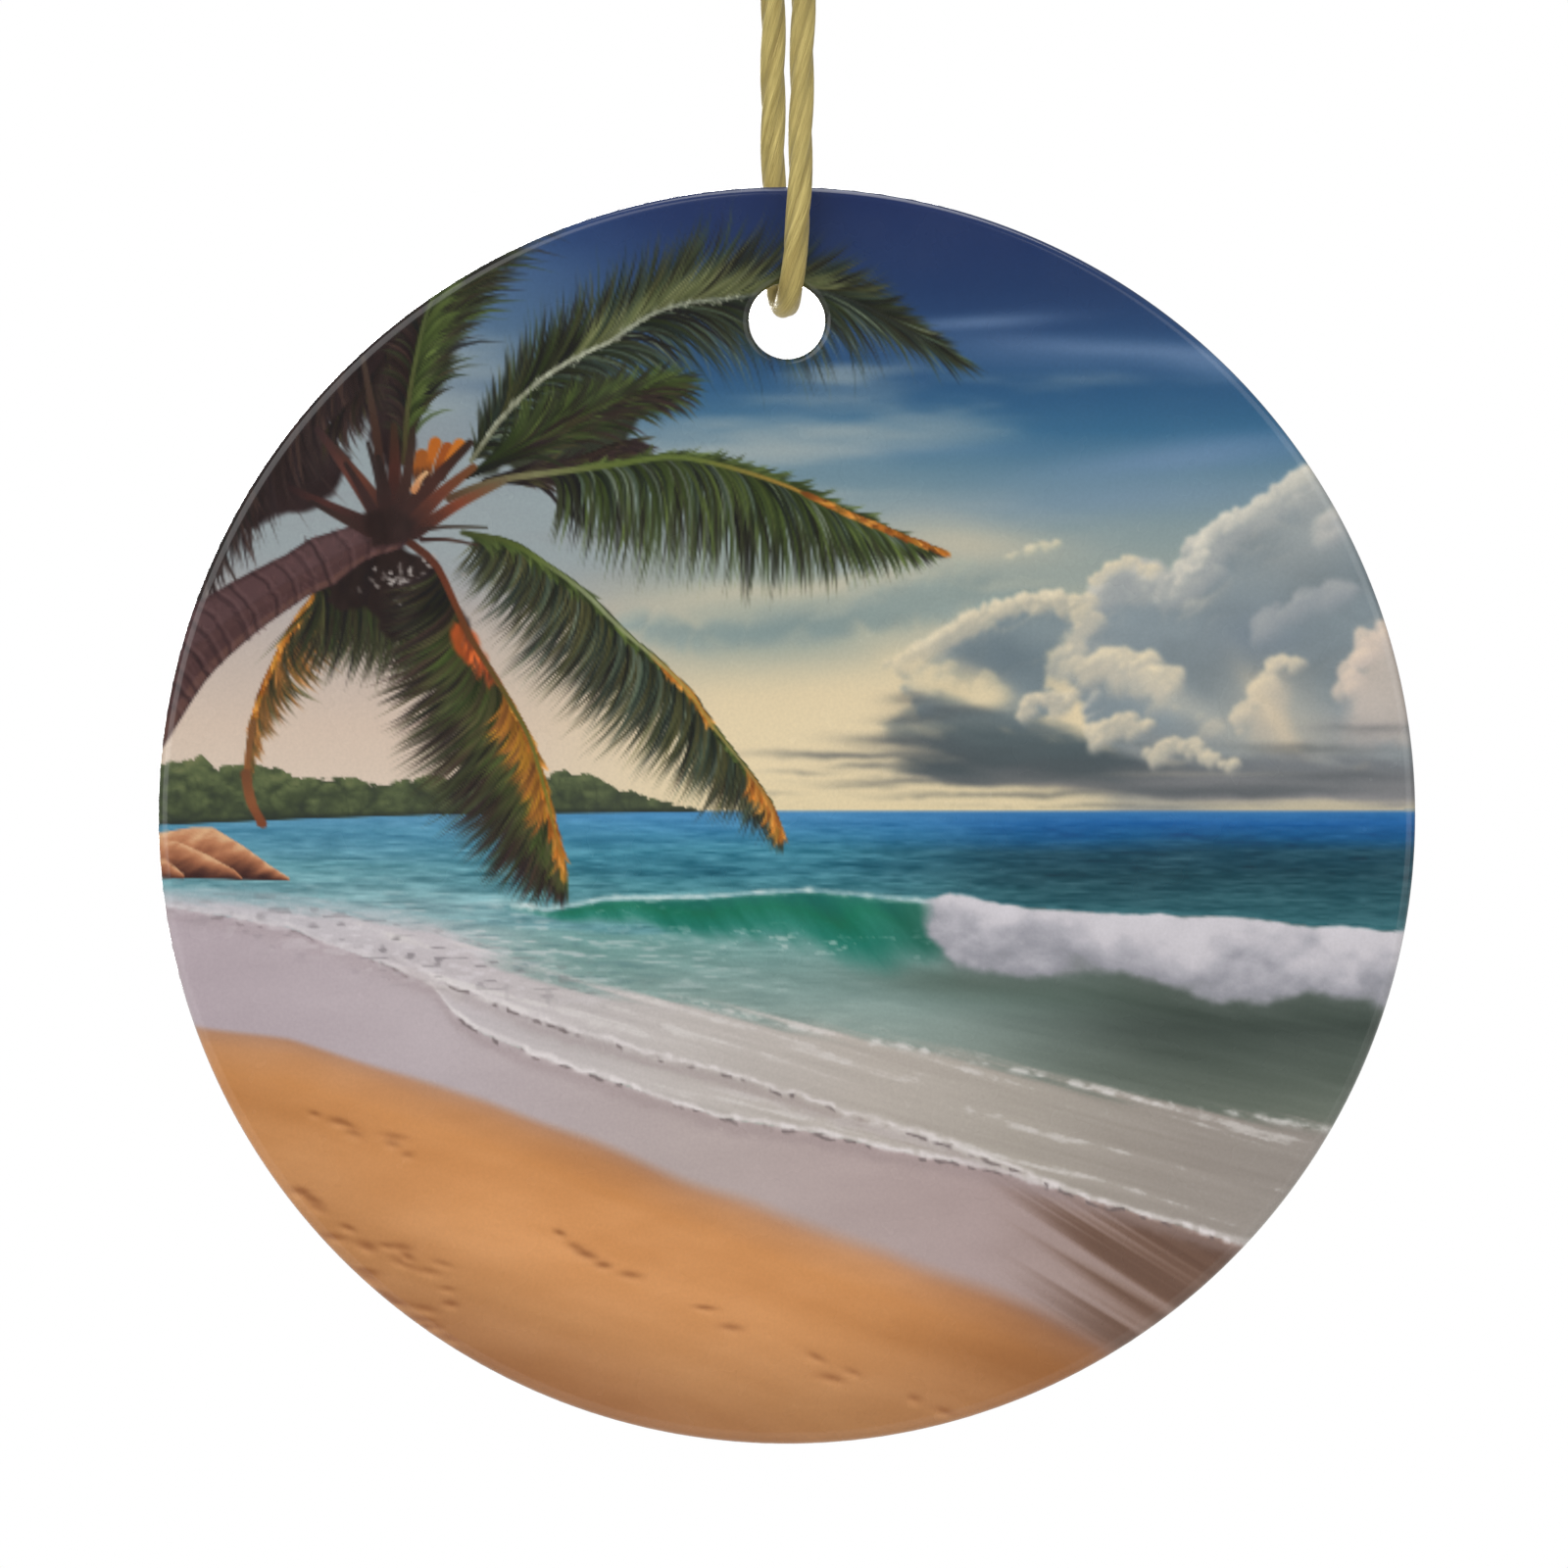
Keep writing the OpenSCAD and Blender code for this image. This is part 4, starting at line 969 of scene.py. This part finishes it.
def porcelain_material():
    """White glazed ceramic: a faint waviness, tiny specks and a cream tinge where the glaze pools."""
    n = Nodes("glazed_porcelain")
    place = n.position()
    specks = n.spread(n.noise(place, 900, 2.0), 0.74, 0.8)
    pool = n.spread(n.noise(place, 45, 2.0), 0.35, 0.7)
    colour = n.mix(pool, srgb(248, 247, 244), srgb(245, 243, 238))
    colour = n.mix(n.math("MULTIPLY", specks, 0.25), colour, srgb(196, 186, 170))
    n.set(Base_Color=colour, Roughness=n.spread(n.noise(place, 160), 0.3, 0.7, 0.1, 0.17))
    n.set(Coat_Weight=0.6, Coat_Roughness=0.05)
    n.bump(n.math("ADD", n.noise(place, 110, 2.0), n.math("MULTIPLY", n.noise(place, 2400, 1.0), 0.02)), 0.03 * MM, 0.7)
    return n.material


def print_material():
    """The printed picture under its gloss: ink colours, a faint grain and a slightly uneven surface."""
    n = Nodes("printed_gloss")
    place = n.position()
    grain = n.spread(n.noise(place, 5200, 2.0, 0.6), 0.25, 0.75, 0.955, 1.045)
    ink = n.attribute("picture").outputs["Color"]
    scaled = n.add("ShaderNodeVectorMath", {"operation": "SCALE"})
    n.tree.links.new(ink, scaled.inputs[0])
    n.tree.links.new(grain, scaled.inputs["Scale"])
    n.set(Base_Color=scaled.outputs[0], Roughness=n.spread(n.noise(place, 300), 0.3, 0.7, 0.2, 0.3))
    n.set(Coat_Weight=0.5, Coat_Roughness=0.06)
    n.set(Specular_IOR_Level=0.35)
    n.bump(n.noise(place, 140, 2.0), 0.012 * MM, 0.6)
    return n.material


def floor_material():
    """A pale matt studio floor with a very faint mottle."""
    n = Nodes("studio_floor")
    tone = n.spread(n.noise(n.position(), 9, 3.0), 0.3, 0.7)
    n.set(Base_Color=n.mix(tone, srgb(228, 227, 224), srgb(236, 235, 232)), Roughness=0.85)
    return n.material


# ---------------------------------------------------------------- cord
# Route of the loop: sideways, front to back, and height above the hole's middle, in mm.
CORD_ROUTE = [
    (0.8, 0, 68), (0.8, -0.1, 67), (0.85, -0.6, 65), (0.9, -1, 62), (1, -1.4, 56), (1.1, -1.8, 46),
    (1.1, -2.2, 35), (1.05, -2.6, 24), (0.9, -2.8, 16), (0.8, -2.9, 10), (0.7, -3, 6.5), (0.5, -3, 4.3),
    (0.35, -2.7, 2.6), (0.2, -1.9, 1.6), (0.05, -1, 1.1), (-0.1, 0, 0.9), (-0.25, 1, 1.1), (-0.4, 1.9, 1.6),
    (-0.5, 2.7, 2.6), (-0.6, 3, 4.3), (-0.7, 3, 6.5), (-0.8, 2.9, 10), (-0.8, 2.8, 16), (-0.8, 2.6, 24),
    (-0.8, 2.2, 35), (-0.85, 1.8, 46), (-0.9, 1.4, 56), (-0.85, 1, 62), (-0.8, 0.6, 65), (-0.8, 0.1, 67),
    (-0.8, 0, 68),
]
PLY_R = 0.54
PLY_OUT = 0.21
LAY = 14.0
STRAND_X = 0.8
LOOP_TOP = 0.5


def curve_through(points, step):
    """Places about a step apart on a smooth curve through the points."""
    p = np.asarray(points, float)
    p = np.vstack([2 * p[0] - p[1], p, 2 * p[-1] - p[-2]])
    places = []
    for a, b, c, d in zip(p, p[1:], p[2:], p[3:]):
        for t in np.arange(16) / 16:
            places.append(
                b + (c - a) * t / 2 + (2 * a - 5 * b + 4 * c - d) * t**2 / 2 + (3 * b - a - 3 * c + d) * t**3 / 2
            )
    places = np.array(places + [p[-2]])
    run = np.concatenate([[0], np.cumsum(np.linalg.norm(np.diff(places, axis=0), axis=1))])
    at = np.linspace(0, run[-1], int(run[-1] / step) + 1)
    return np.stack([np.interp(at, run, places[:, k]) for k in range(3)], axis=-1), at


def side_vectors(path):
    """Two directions across the path at each place, which don't spin about it."""
    along = np.gradient(path, axis=0)
    along /= np.linalg.norm(along, axis=1)[:, None]
    side = np.cross(along[0], (0.3, 1.0, 0.1))
    sides = []
    for direction in along:
        side = side - direction * (side @ direction)
        side = side / np.linalg.norm(side)
        sides.append(side)
    sides = np.array(sides)
    return along, sides, np.cross(along, sides)


def ply_radius(angle):
    """Distance from the middle of a three-ply cord to its surface."""
    third = 2 * math.pi / 3
    from_crown = (angle + third / 2) % third - third / 2
    return PLY_OUT * np.cos(from_crown) + np.sqrt(PLY_R**2 - (PLY_OUT * np.sin(from_crown)) ** 2)


def cord_shape(places, step, around, phase=0.0, worn_ends=(1.0, 1.0)):
    """A twisted three-ply cord along the places, with capped ends: points, faces, fibre, crown and path."""
    path, run = curve_through(places, step)
    along, side, up = side_vectors(path)
    turn = np.arange(around) * 2 * math.pi / around
    radius = ply_radius(turn)
    crown = (radius - radius.min()) / (radius.max() - radius.min())
    angle = turn[None, :] + (phase + 2 * math.pi * run / LAY)[:, None]
    from_end = np.minimum(run, run[-1] - run)
    worn = np.interp(from_end, [0, 0.45], [0.35, 0.0])
    worn = 1 - worn * np.where(run < run[-1] / 2, worn_ends[0], worn_ends[1])
    rng = np.random.default_rng(7)
    knots = np.arange(0, run[-1] + 3, 3)
    thick = 1 + 0.018 * np.interp(run, knots, rng.normal(0, 1, len(knots)))
    reach = radius[None, :] * (worn * np.clip(thick, 0.97, 1.03))[:, None]
    out = np.cos(angle)[..., None] * side[:, None] + np.sin(angle)[..., None] * up[:, None]
    points = (path[:, None] + out * reach[..., None]).reshape(-1, 3)
    rings = len(path)
    fibre = np.stack([np.tile(np.cos(turn), rings), np.tile(np.sin(turn), rings), np.repeat(run, around)], axis=-1)
    return points, tube_faces(rings, around), fibre, np.tile(crown, rings), path


def tube_faces(rings, around):
    """Quads along a tube and a cap at each end."""
    index = np.arange(rings * around).reshape(rings, around)
    following = np.roll(index, -1, axis=1)
    quads = np.stack([index[:-1], following[:-1], following[1:], index[1:]], axis=-1).reshape(-1, 4)
    return quads.tolist() + [index[0][::-1].tolist(), index[-1].tolist()]


def cord_object(name, shapes, material):
    """One object of several cord shapes, with the fibre and crown values that the cord material reads."""
    points, faces, first = [], [], 0
    for shape in shapes:
        points.append(shape[0])
        faces.extend([first + corner for corner in face] for face in shape[1])
        first += len(shape[0])
    made = new_object(name, (np.concatenate(points) * MM).tolist(), faces, material)
    fibre = np.concatenate([shape[2] for shape in shapes])
    layer = made.data.attributes.new("fibre", "FLOAT_VECTOR", "POINT")
    layer.data.foreach_set("vector", fibre.astype(np.float32).ravel())
    crown = np.concatenate([shape[3] for shape in shapes])
    layer = made.data.attributes.new("crown", "FLOAT", "POINT")
    layer.data.foreach_set("value", crown.astype(np.float32))
    return made


def add_cord(material):
    """The loop, from inside the knot down through the hole and back up."""
    places = [(x, y, h + HOLE_Z) for x, y, h in CORD_ROUTE]
    places = [(STRAND_X, 0, LOOP_TOP)] + places + [(-STRAND_X, 0, LOOP_TOP)]
    shape = cord_shape(places, 0.2, 30)
    cord = cord_object("gold_cord_loop", [shape], material)
    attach(cord, "loop")
    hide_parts("hanging_cord")
    return cord, shape[4]

# ---------------------------------------------------------------- knot
TIE_STEP = 0.7           # mm between the points of a tied strand
TIE_SCALE = 1.8          # mm for one unit of the loose knot's curve
KNOT_FOOT = 10.0         # mm up the tied strands where the knot's own part starts
TAIL_TOP = 11.6          # mm above the hanging point where the tails are cut
KNOT_TOP = 6.3           # mm above the hanging point where the tails leave the knot
TAIL_BEND = 0.03         # how fast the tails lean apart above the knot


def loose_strand(side):
    """One strand of a loose overhand knot: up from the loop, once round itself, and up into the tail."""
    t = np.linspace(2 * math.pi - 0.5, 0.5, 120) + math.pi / 3
    outward = np.array((math.cos(math.pi / 6), math.sin(math.pi / 6)))
    upward = np.array((-outward[1], outward[0]))
    flat = np.stack([np.sin(t) + 2 * np.sin(2 * t), np.cos(t) - 2 * np.cos(2 * t)], axis=-1)
    x, z, y = flat @ outward, flat @ upward, -np.sin(3 * t)
    tie = TIE_SCALE * np.stack([x, y, z], axis=-1) + (-6.0, 0.8 * side, 9.0)
    foot = [(0.8 * side, 0, 0), (0.8 * side, 0, 1.0), (0.7 * side, 0.3 * side, 2.5)]
    head = [(0.4, 0.8 * side, 18), (0.2, 0.8 * side, 30), (0.2, 0.8 * side, 34)]
    return curve_through(np.vstack([foot, tie, head]), TIE_STEP)[0]


def pull_tight(strands, steps=1100):
    """Draws the tails up until the knot jams, with strands that keep their length and thickness."""
    count = len(strands[0])
    p = np.concatenate(strands)
    before = p.copy()
    rest = np.linalg.norm(strands[0][1] - strands[0][0])
    index = np.arange(len(p))
    strand = index // count
    first, second = np.triu_indices(len(p), 1)
    apart = (strand[first] != strand[second]) | (second - first > 3)
    first, second = first[apart], second[apart]
    links = [index[(index % count < count - 1) & (index % 2 == k)] for k in (0, 1)]
    bends = [index[(index % count < count - 2) & (index % 4 == k)] for k in range(4)]
    pinned = np.concatenate([[0, 1, 2], [count, count + 1, count + 2]])
    held = p[pinned].copy()
    held[:, 2] = np.tile([0, rest, 2 * rest], 2)
    held[:, 1] = 0
    held[:, 0] = np.repeat([0.8, -0.8], 3) * np.sign(p[0, 0])
    tails = np.array([count - 1, 2 * count - 1])

    def keep_apart(a, b, least, most=None, share=0.5):
        gap = p[b] - p[a]
        size = np.linalg.norm(gap, axis=1) + 1e-9
        wrong = np.minimum(size - least, 0)
        if most is not None:
            wrong = wrong + np.maximum(size - most, 0)
        shift = gap / size[:, None] * (share * wrong)[:, None]
        return shift

    for step in range(steps):
        velocity = 0.86 * (p - before)
        before = p.copy()
        p = p + velocity
        p[tails, 2] += 0.3
        gap = p[second] - p[first]
        close = (gap**2).sum(axis=1) < (1.8 * CORD_D) ** 2
        a_close, b_close = first[close], second[close]
        for _ in range(10):
            for a in links:
                shift = keep_apart(a, a + 1, rest, rest)
                p[a] += shift
                p[a + 1] -= shift
            for a in bends:
                shift = keep_apart(a, a + 2, 1.8 * rest)
                p[a] += shift
                p[a + 2] -= shift
            gap = p[b_close] - p[a_close]
            size2 = (gap**2).sum(axis=1)
            near = size2 < CORD_D**2
            a, b, gap = a_close[near], b_close[near], gap[near]
            size = np.sqrt(size2[near]) + 1e-9
            shift = gap * (0.35 * (size - CORD_D) / size)[:, None]
            np.add.at(p, a, shift)
            np.add.at(p, b, -shift)
            p[pinned] = held
    return p[:count], p[count:]


def set_on_origin(strands):
    """The tied part of both strands, moved so that it stands on the hanging point."""
    right, left = [strand[np.searchsorted(strand[:, 2], KNOT_FOOT):] for strand in strands]
    middle = (right[0] + left[0]) / 2
    lean = math.atan2(right[0][1] - left[0][1], right[0][0] - left[0][0])
    moved = []
    for strand, side in ((right, 1), (left, -1)):
        x, y, z = (strand - middle).T
        x, y = x * math.cos(lean) + y * math.sin(lean), y * math.cos(lean) - x * math.sin(lean)
        z = z - z[0]
        near = np.clip(1 - z / 2, 0, 1)
        x = x + (side * STRAND_X - x[0]) * near
        y = y - y[0] * near
        above = np.clip(z - KNOT_TOP, 0, None)
        x = x + side * TAIL_BEND * above**2
        y = y - 0.5 * TAIL_BEND * above**2
        moved.append(np.stack([x, y, z], axis=-1)[z < TAIL_TOP + 0.8 * side])
    return moved


def loose_fibres(path, seed, count=16):
    """Fine fibres that spread from the cut end of a tail."""
    rng = np.random.default_rng(seed)
    ahead = path[-1] - path[-4]
    ahead /= np.linalg.norm(ahead)
    shapes = []
    for _ in range(count):
        root = rng.normal(0, 0.3, 3)
        root -= ahead * (root @ ahead)
        away = rng.normal(0, 0.45, 3) + 0.6 * root
        length = rng.uniform(0.8, 2.4)
        t = np.linspace(0, 1, 9)[:, None]
        line = path[-1] - 0.6 * ahead + root + ahead * (length * t + 0.6 * t) + away * (length * 0.5 * t**2)
        along, side, up = side_vectors(line)
        turn = np.arange(6) * math.pi / 3
        thin = np.interp(t[:, 0], [0, 1], [0.075, 0.035])
        out = np.cos(turn)[None, :, None] * side[:, None] + np.sin(turn)[None, :, None] * up[:, None]
        points = (line[:, None] + out * thin[:, None, None]).reshape(-1, 3)
        fibre = np.stack([np.tile(np.cos(turn), 9), np.tile(np.sin(turn), 9), np.repeat(t[:, 0], 6)], axis=-1)
        shapes.append((points, tube_faces(9, 6), fibre, np.full(54, 0.6), line))
    return shapes


def add_knot(material):
    """The overhand knot in the cord's two ends, with frayed tails."""
    strands = [loose_strand(1), loose_strand(-1)]
    count = min(len(strand) for strand in strands)
    right, left = set_on_origin(pull_tight([strand[:count] for strand in strands]))
    shapes = [cord_shape(right, 0.22, 30), cord_shape(left, 0.22, 30, phase=1.0)]
    shapes += loose_fibres(shapes[0][4], 31) + loose_fibres(shapes[1][4], 32)
    knot = cord_object("overhand_knot", shapes, material)
    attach(knot, "knot")
    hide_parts("tied_knot")
    return knot

# ---------------------------------------------------------------- printed skin
def ring(radius, height, y, count):
    """Points of a circle in the face's plane, anticlockwise in x and z."""
    turn = np.arange(count) * 2 * math.pi / count
    return np.stack([radius * np.cos(turn), np.full(count, y), height + radius * np.sin(turn)], axis=-1)


RIM_POINTS = 1500
HOLE_POINTS = 132


GLOSS_HAZE = 0.010      # light that the gloss adds to every ink, taken off the ink again


class Skin:
    """Collects the vertices and faces of the printed skin, in mm, with the disc's middle at z = 0."""

    def __init__(self):
        self.points = []
        self.faces = []
        self.count = 0

    def add(self, points):
        first = self.count
        self.points.append(points)
        self.count += len(points)
        return np.arange(first, self.count)

    def band(self, lower, upper):
        """Quads between two rings of the same number of points."""
        quads = np.stack([lower, np.roll(lower, -1), np.roll(upper, -1), upper], axis=-1)
        self.faces.extend(quads.tolist())

    def rings(self, start, sizes, height, outward):
        """Bands from a ring through rings of each radius and depth, and the last ring."""
        for radius, y in sizes:
            following = self.add(ring(radius, height, y, len(start)))
            if outward:
                self.band(following, start)
            else:
                self.band(start, following)
            start = following
        return start

    def fill(self, indices, loops, keep, reverse):
        """Triangles between closed loops of points, where keep says so of a triangle's middle."""
        points = np.concatenate(self.points)[indices][:, [0, 2]]
        edges = []
        for loop in loops:
            edges.extend(zip(loop, np.roll(loop, -1).tolist()))
        made = delaunay_2d_cdt([Vector(p) for p in points], edges, [], 0, 1e-7)
        corners = np.array([face[:] for face in made[2]])
        source = np.array([from_points[0] for from_points in made[3]])
        middle = np.array([p[:] for p in made[0]])[corners].mean(axis=1)
        corners = indices[source[corners[keep(middle)]]]
        self.faces.extend((corners[:, ::-1] if reverse else corners).tolist())


def staircase_loops(kept):
    """Closed loops of grid points round the kept cells, as row and column numbers."""
    rows, columns = np.nonzero(kept)
    padded = np.pad(kept, 1)
    following = {}
    for row_step, column_step, a, b in ((-1, 0, (0, 0), (0, 1)), (0, 1, (0, 1), (1, 1)), (1, 0, (1, 1), (1, 0)),
                                        (0, -1, (1, 0), (0, 0))):
        open_side = ~padded[rows + 1 + row_step, columns + 1 + column_step]
        for row, column in zip(rows[open_side].tolist(), columns[open_side].tolist()):
            following.setdefault((row + a[0], column + a[1]), []).append((row + b[0], column + b[1]))
    loops = []
    while following:
        start = next(iter(following))
        loop = [start]
        while True:
            options = following[loop[-1]]
            step = options.pop()
            if not options:
                del following[loop[-1]]
            if step == start:
                break
            loop.append(step)
        loops.append(loop)
    return loops


def build_skin():
    """The skin's points, faces and the canvas place of each point."""
    skin = Skin()
    flat_r = DISC_R - RIM_R
    hole = HOLE_Z - DISC_Z
    flat_hole = HOLE_R + MOUTH_R
    margin = 0.06
    from_hole = np.hypot(U, V - hole)
    good = (np.hypot(U, V) < flat_r - margin) & (from_hole > flat_hole + margin)
    kept = good[:-1, :-1] & good[1:, :-1] & good[:-1, 1:] & good[1:, 1:]
    used = np.zeros(U.shape, bool)
    for rows in (slice(None, -1), slice(1, None)):
        for columns in (slice(None, -1), slice(1, None)):
            used[rows, columns] |= kept
    number = np.full(U.shape, -1)
    number[used] = np.arange(used.sum())
    skin.add(np.stack([U[used], np.full(used.sum(), FRONT_Y), V[used]], axis=-1))
    quads = np.stack([number[:-1, :-1][kept], number[1:, :-1][kept], number[1:, 1:][kept], number[:-1, 1:][kept]], axis=-1)
    skin.faces.extend(quads.tolist())
    rim = skin.add(ring(flat_r, 0, FRONT_Y, RIM_POINTS))
    mouth = skin.add(ring(flat_hole, hole, FRONT_Y, HOLE_POINTS))
    stair = staircase_loops(kept)
    stair_points = [np.array([number[p] for p in loop]) for loop in stair]
    indices = np.concatenate([rim, mouth] + stair_points)
    loops, first = [], 0
    for part in [rim, mouth] + stair_points:
        loops.append(list(range(first, first + len(part))))
        first += len(part)
    mouth_inside = flat_hole * math.cos(math.pi / HOLE_POINTS)

    def in_gap(middle):
        column = ((middle[:, 0] + HALF) / PITCH).astype(int)
        row = ((HALF - middle[:, 1]) / PITCH).astype(int)
        in_hole = np.hypot(middle[:, 0], middle[:, 1] - hole) < mouth_inside
        return ~kept[row, column] & ~in_hole

    skin.fill(indices, loops, in_gap, reverse=False)
    arc = np.linspace(0, math.pi / 2, 9)[1:]
    back_arc = np.linspace(math.pi / 2, 0, 5)
    outside = [(flat_r + RIM_R * math.sin(a), FRONT_Y + RIM_R * (1 - math.cos(a))) for a in arc]
    thin = RIM_R - SKIN
    outside += [(flat_r + thin * math.sin(a), FRONT_Y + SKIN + thin * (1 - math.cos(a))) for a in back_arc]
    back_rim = skin.rings(rim, outside, 0, outward=True)
    inside = [(flat_hole - MOUTH_R * math.sin(a), FRONT_Y + MOUTH_R * (1 - math.cos(a))) for a in arc]
    inside += [(HOLE_R, SKIN_BACK_Y), (HOLE_R + SKIN, SKIN_BACK_Y)]
    thin = MOUTH_R - SKIN
    inside += [(flat_hole - thin * math.sin(a), FRONT_Y + SKIN + thin * (1 - math.cos(a))) for a in back_arc]
    back_mouth = skin.rings(mouth, inside, hole, outward=False)
    indices = np.concatenate([back_rim, back_mouth])
    loops = [list(range(RIM_POINTS)), list(range(RIM_POINTS, RIM_POINTS + HOLE_POINTS))]
    skin.fill(indices, loops, lambda m: np.hypot(m[:, 0], m[:, 1] - hole) > mouth_inside, reverse=True)
    return np.concatenate(skin.points), skin.faces


def sample(picture, points):
    """The picture's colours at points in the face's plane."""
    column = np.clip((points[:, 0] + HALF) / PITCH, 0, SIDE - 1.001)
    row = np.clip((HALF - points[:, 2]) / PITCH, 0, SIDE - 1.001)
    i, j = row.astype(int), column.astype(int)
    fi, fj = (row - i)[:, None], (column - j)[:, None]
    top = picture[i, j] * (1 - fj) + picture[i, j + 1] * fj
    low = picture[i + 1, j] * (1 - fj) + picture[i + 1, j + 1] * fj
    return top * (1 - fi) + low * fi


def add_print(material):
    """The printed skin, painted point by point."""
    picture = background()
    palm(picture)
    points, faces = build_skin()
    colours = np.clip(sample(picture, points) / 255, 0, 1)
    linear = np.where(colours > 0.04045, ((colours + 0.055) / 1.055) ** 2.4, colours / 12.92)
    linear = np.maximum(linear - GLOSS_HAZE, 0.001)
    points = points + (0, 0, DISC_Z)
    made = new_object("printed_face", (points * MM).tolist(), faces, material)
    layer = made.data.attributes.new("picture", "FLOAT_COLOR", "POINT")
    rgba = np.concatenate([linear, np.ones((len(linear), 1))], axis=1)
    layer.data.foreach_set("color", rgba.astype(np.float32).ravel())
    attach(made, "disc")
    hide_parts("print_coating")
    return made


# ---------------------------------------------------------------- stage and lights
def add_floor(material):
    size, height = 0.8, CAD_BOX[0][2] - 0.06
    corners = [(-size, -size, height), (size, -size, height), (size, size, height), (-size, size, height)]
    floor = new_object("floor", corners, [(0, 1, 2, 3)], material)


def add_light(name, place, size, power):
    """A soft square light that faces the disc."""
    data = bpy.data.lights.new(name, "AREA")
    data.size = size
    data.energy = power
    light = bpy.data.objects.new(name, data)
    light.location = place
    light.visible_camera = False
    aim = Vector((0, 0, DISC_Z * MM)) - Vector(place)
    light.rotation_euler = aim.to_track_quat("-Z", "Y").to_euler()
    bpy.context.scene.collection.objects.link(light)


def add_world():
    """White behind the object, and a plain soft grey for everything that it lights."""
    world = bpy.data.worlds.new("studio")
    bpy.context.scene.world = world
    world.use_nodes = True
    tree = world.node_tree
    output = next(node for node in tree.nodes if node.type == "OUTPUT_WORLD")
    lit = next(node for node in tree.nodes if node.type == "BACKGROUND")
    lit.inputs["Color"].default_value = (1, 1, 1, 1)
    lit.inputs["Strength"].default_value = 0.25
    seen = tree.nodes.new("ShaderNodeBackground")
    seen.inputs["Color"].default_value = (1, 1, 1, 1)
    seen.inputs["Strength"].default_value = 1.0
    choose = tree.nodes.new("ShaderNodeMixShader")
    path = tree.nodes.new("ShaderNodeLightPath")
    tree.links.new(path.outputs["Is Camera Ray"], choose.inputs[0])
    tree.links.new(lit.outputs[0], choose.inputs[1])
    tree.links.new(seen.outputs[0], choose.inputs[2])
    tree.links.new(choose.outputs[0], output.inputs["Surface"])


# ---------------------------------------------------------------- scene
add_camera()
gold = cord_material()
cord, cord_path = add_cord(gold)
knot = add_knot(gold)

porcelain = porcelain_material()
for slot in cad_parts["ceramic_disc"].material_slots:
    slot.material = porcelain
add_print(print_material())

add_floor(floor_material())
add_light("key", (-0.8, -0.8, 0.5), 1.5, 12.2)
add_light("fill", (0.9, -0.75, 0.15), 1.5, 7.0)
add_light("top", (0.1, 0.1, 0.95), 0.7, 4.6)
add_light("rear", (-0.2, 1.3, 0.1), 0.5, 11)
add_world()
bpy.context.scene.view_settings.view_transform = "Standard"
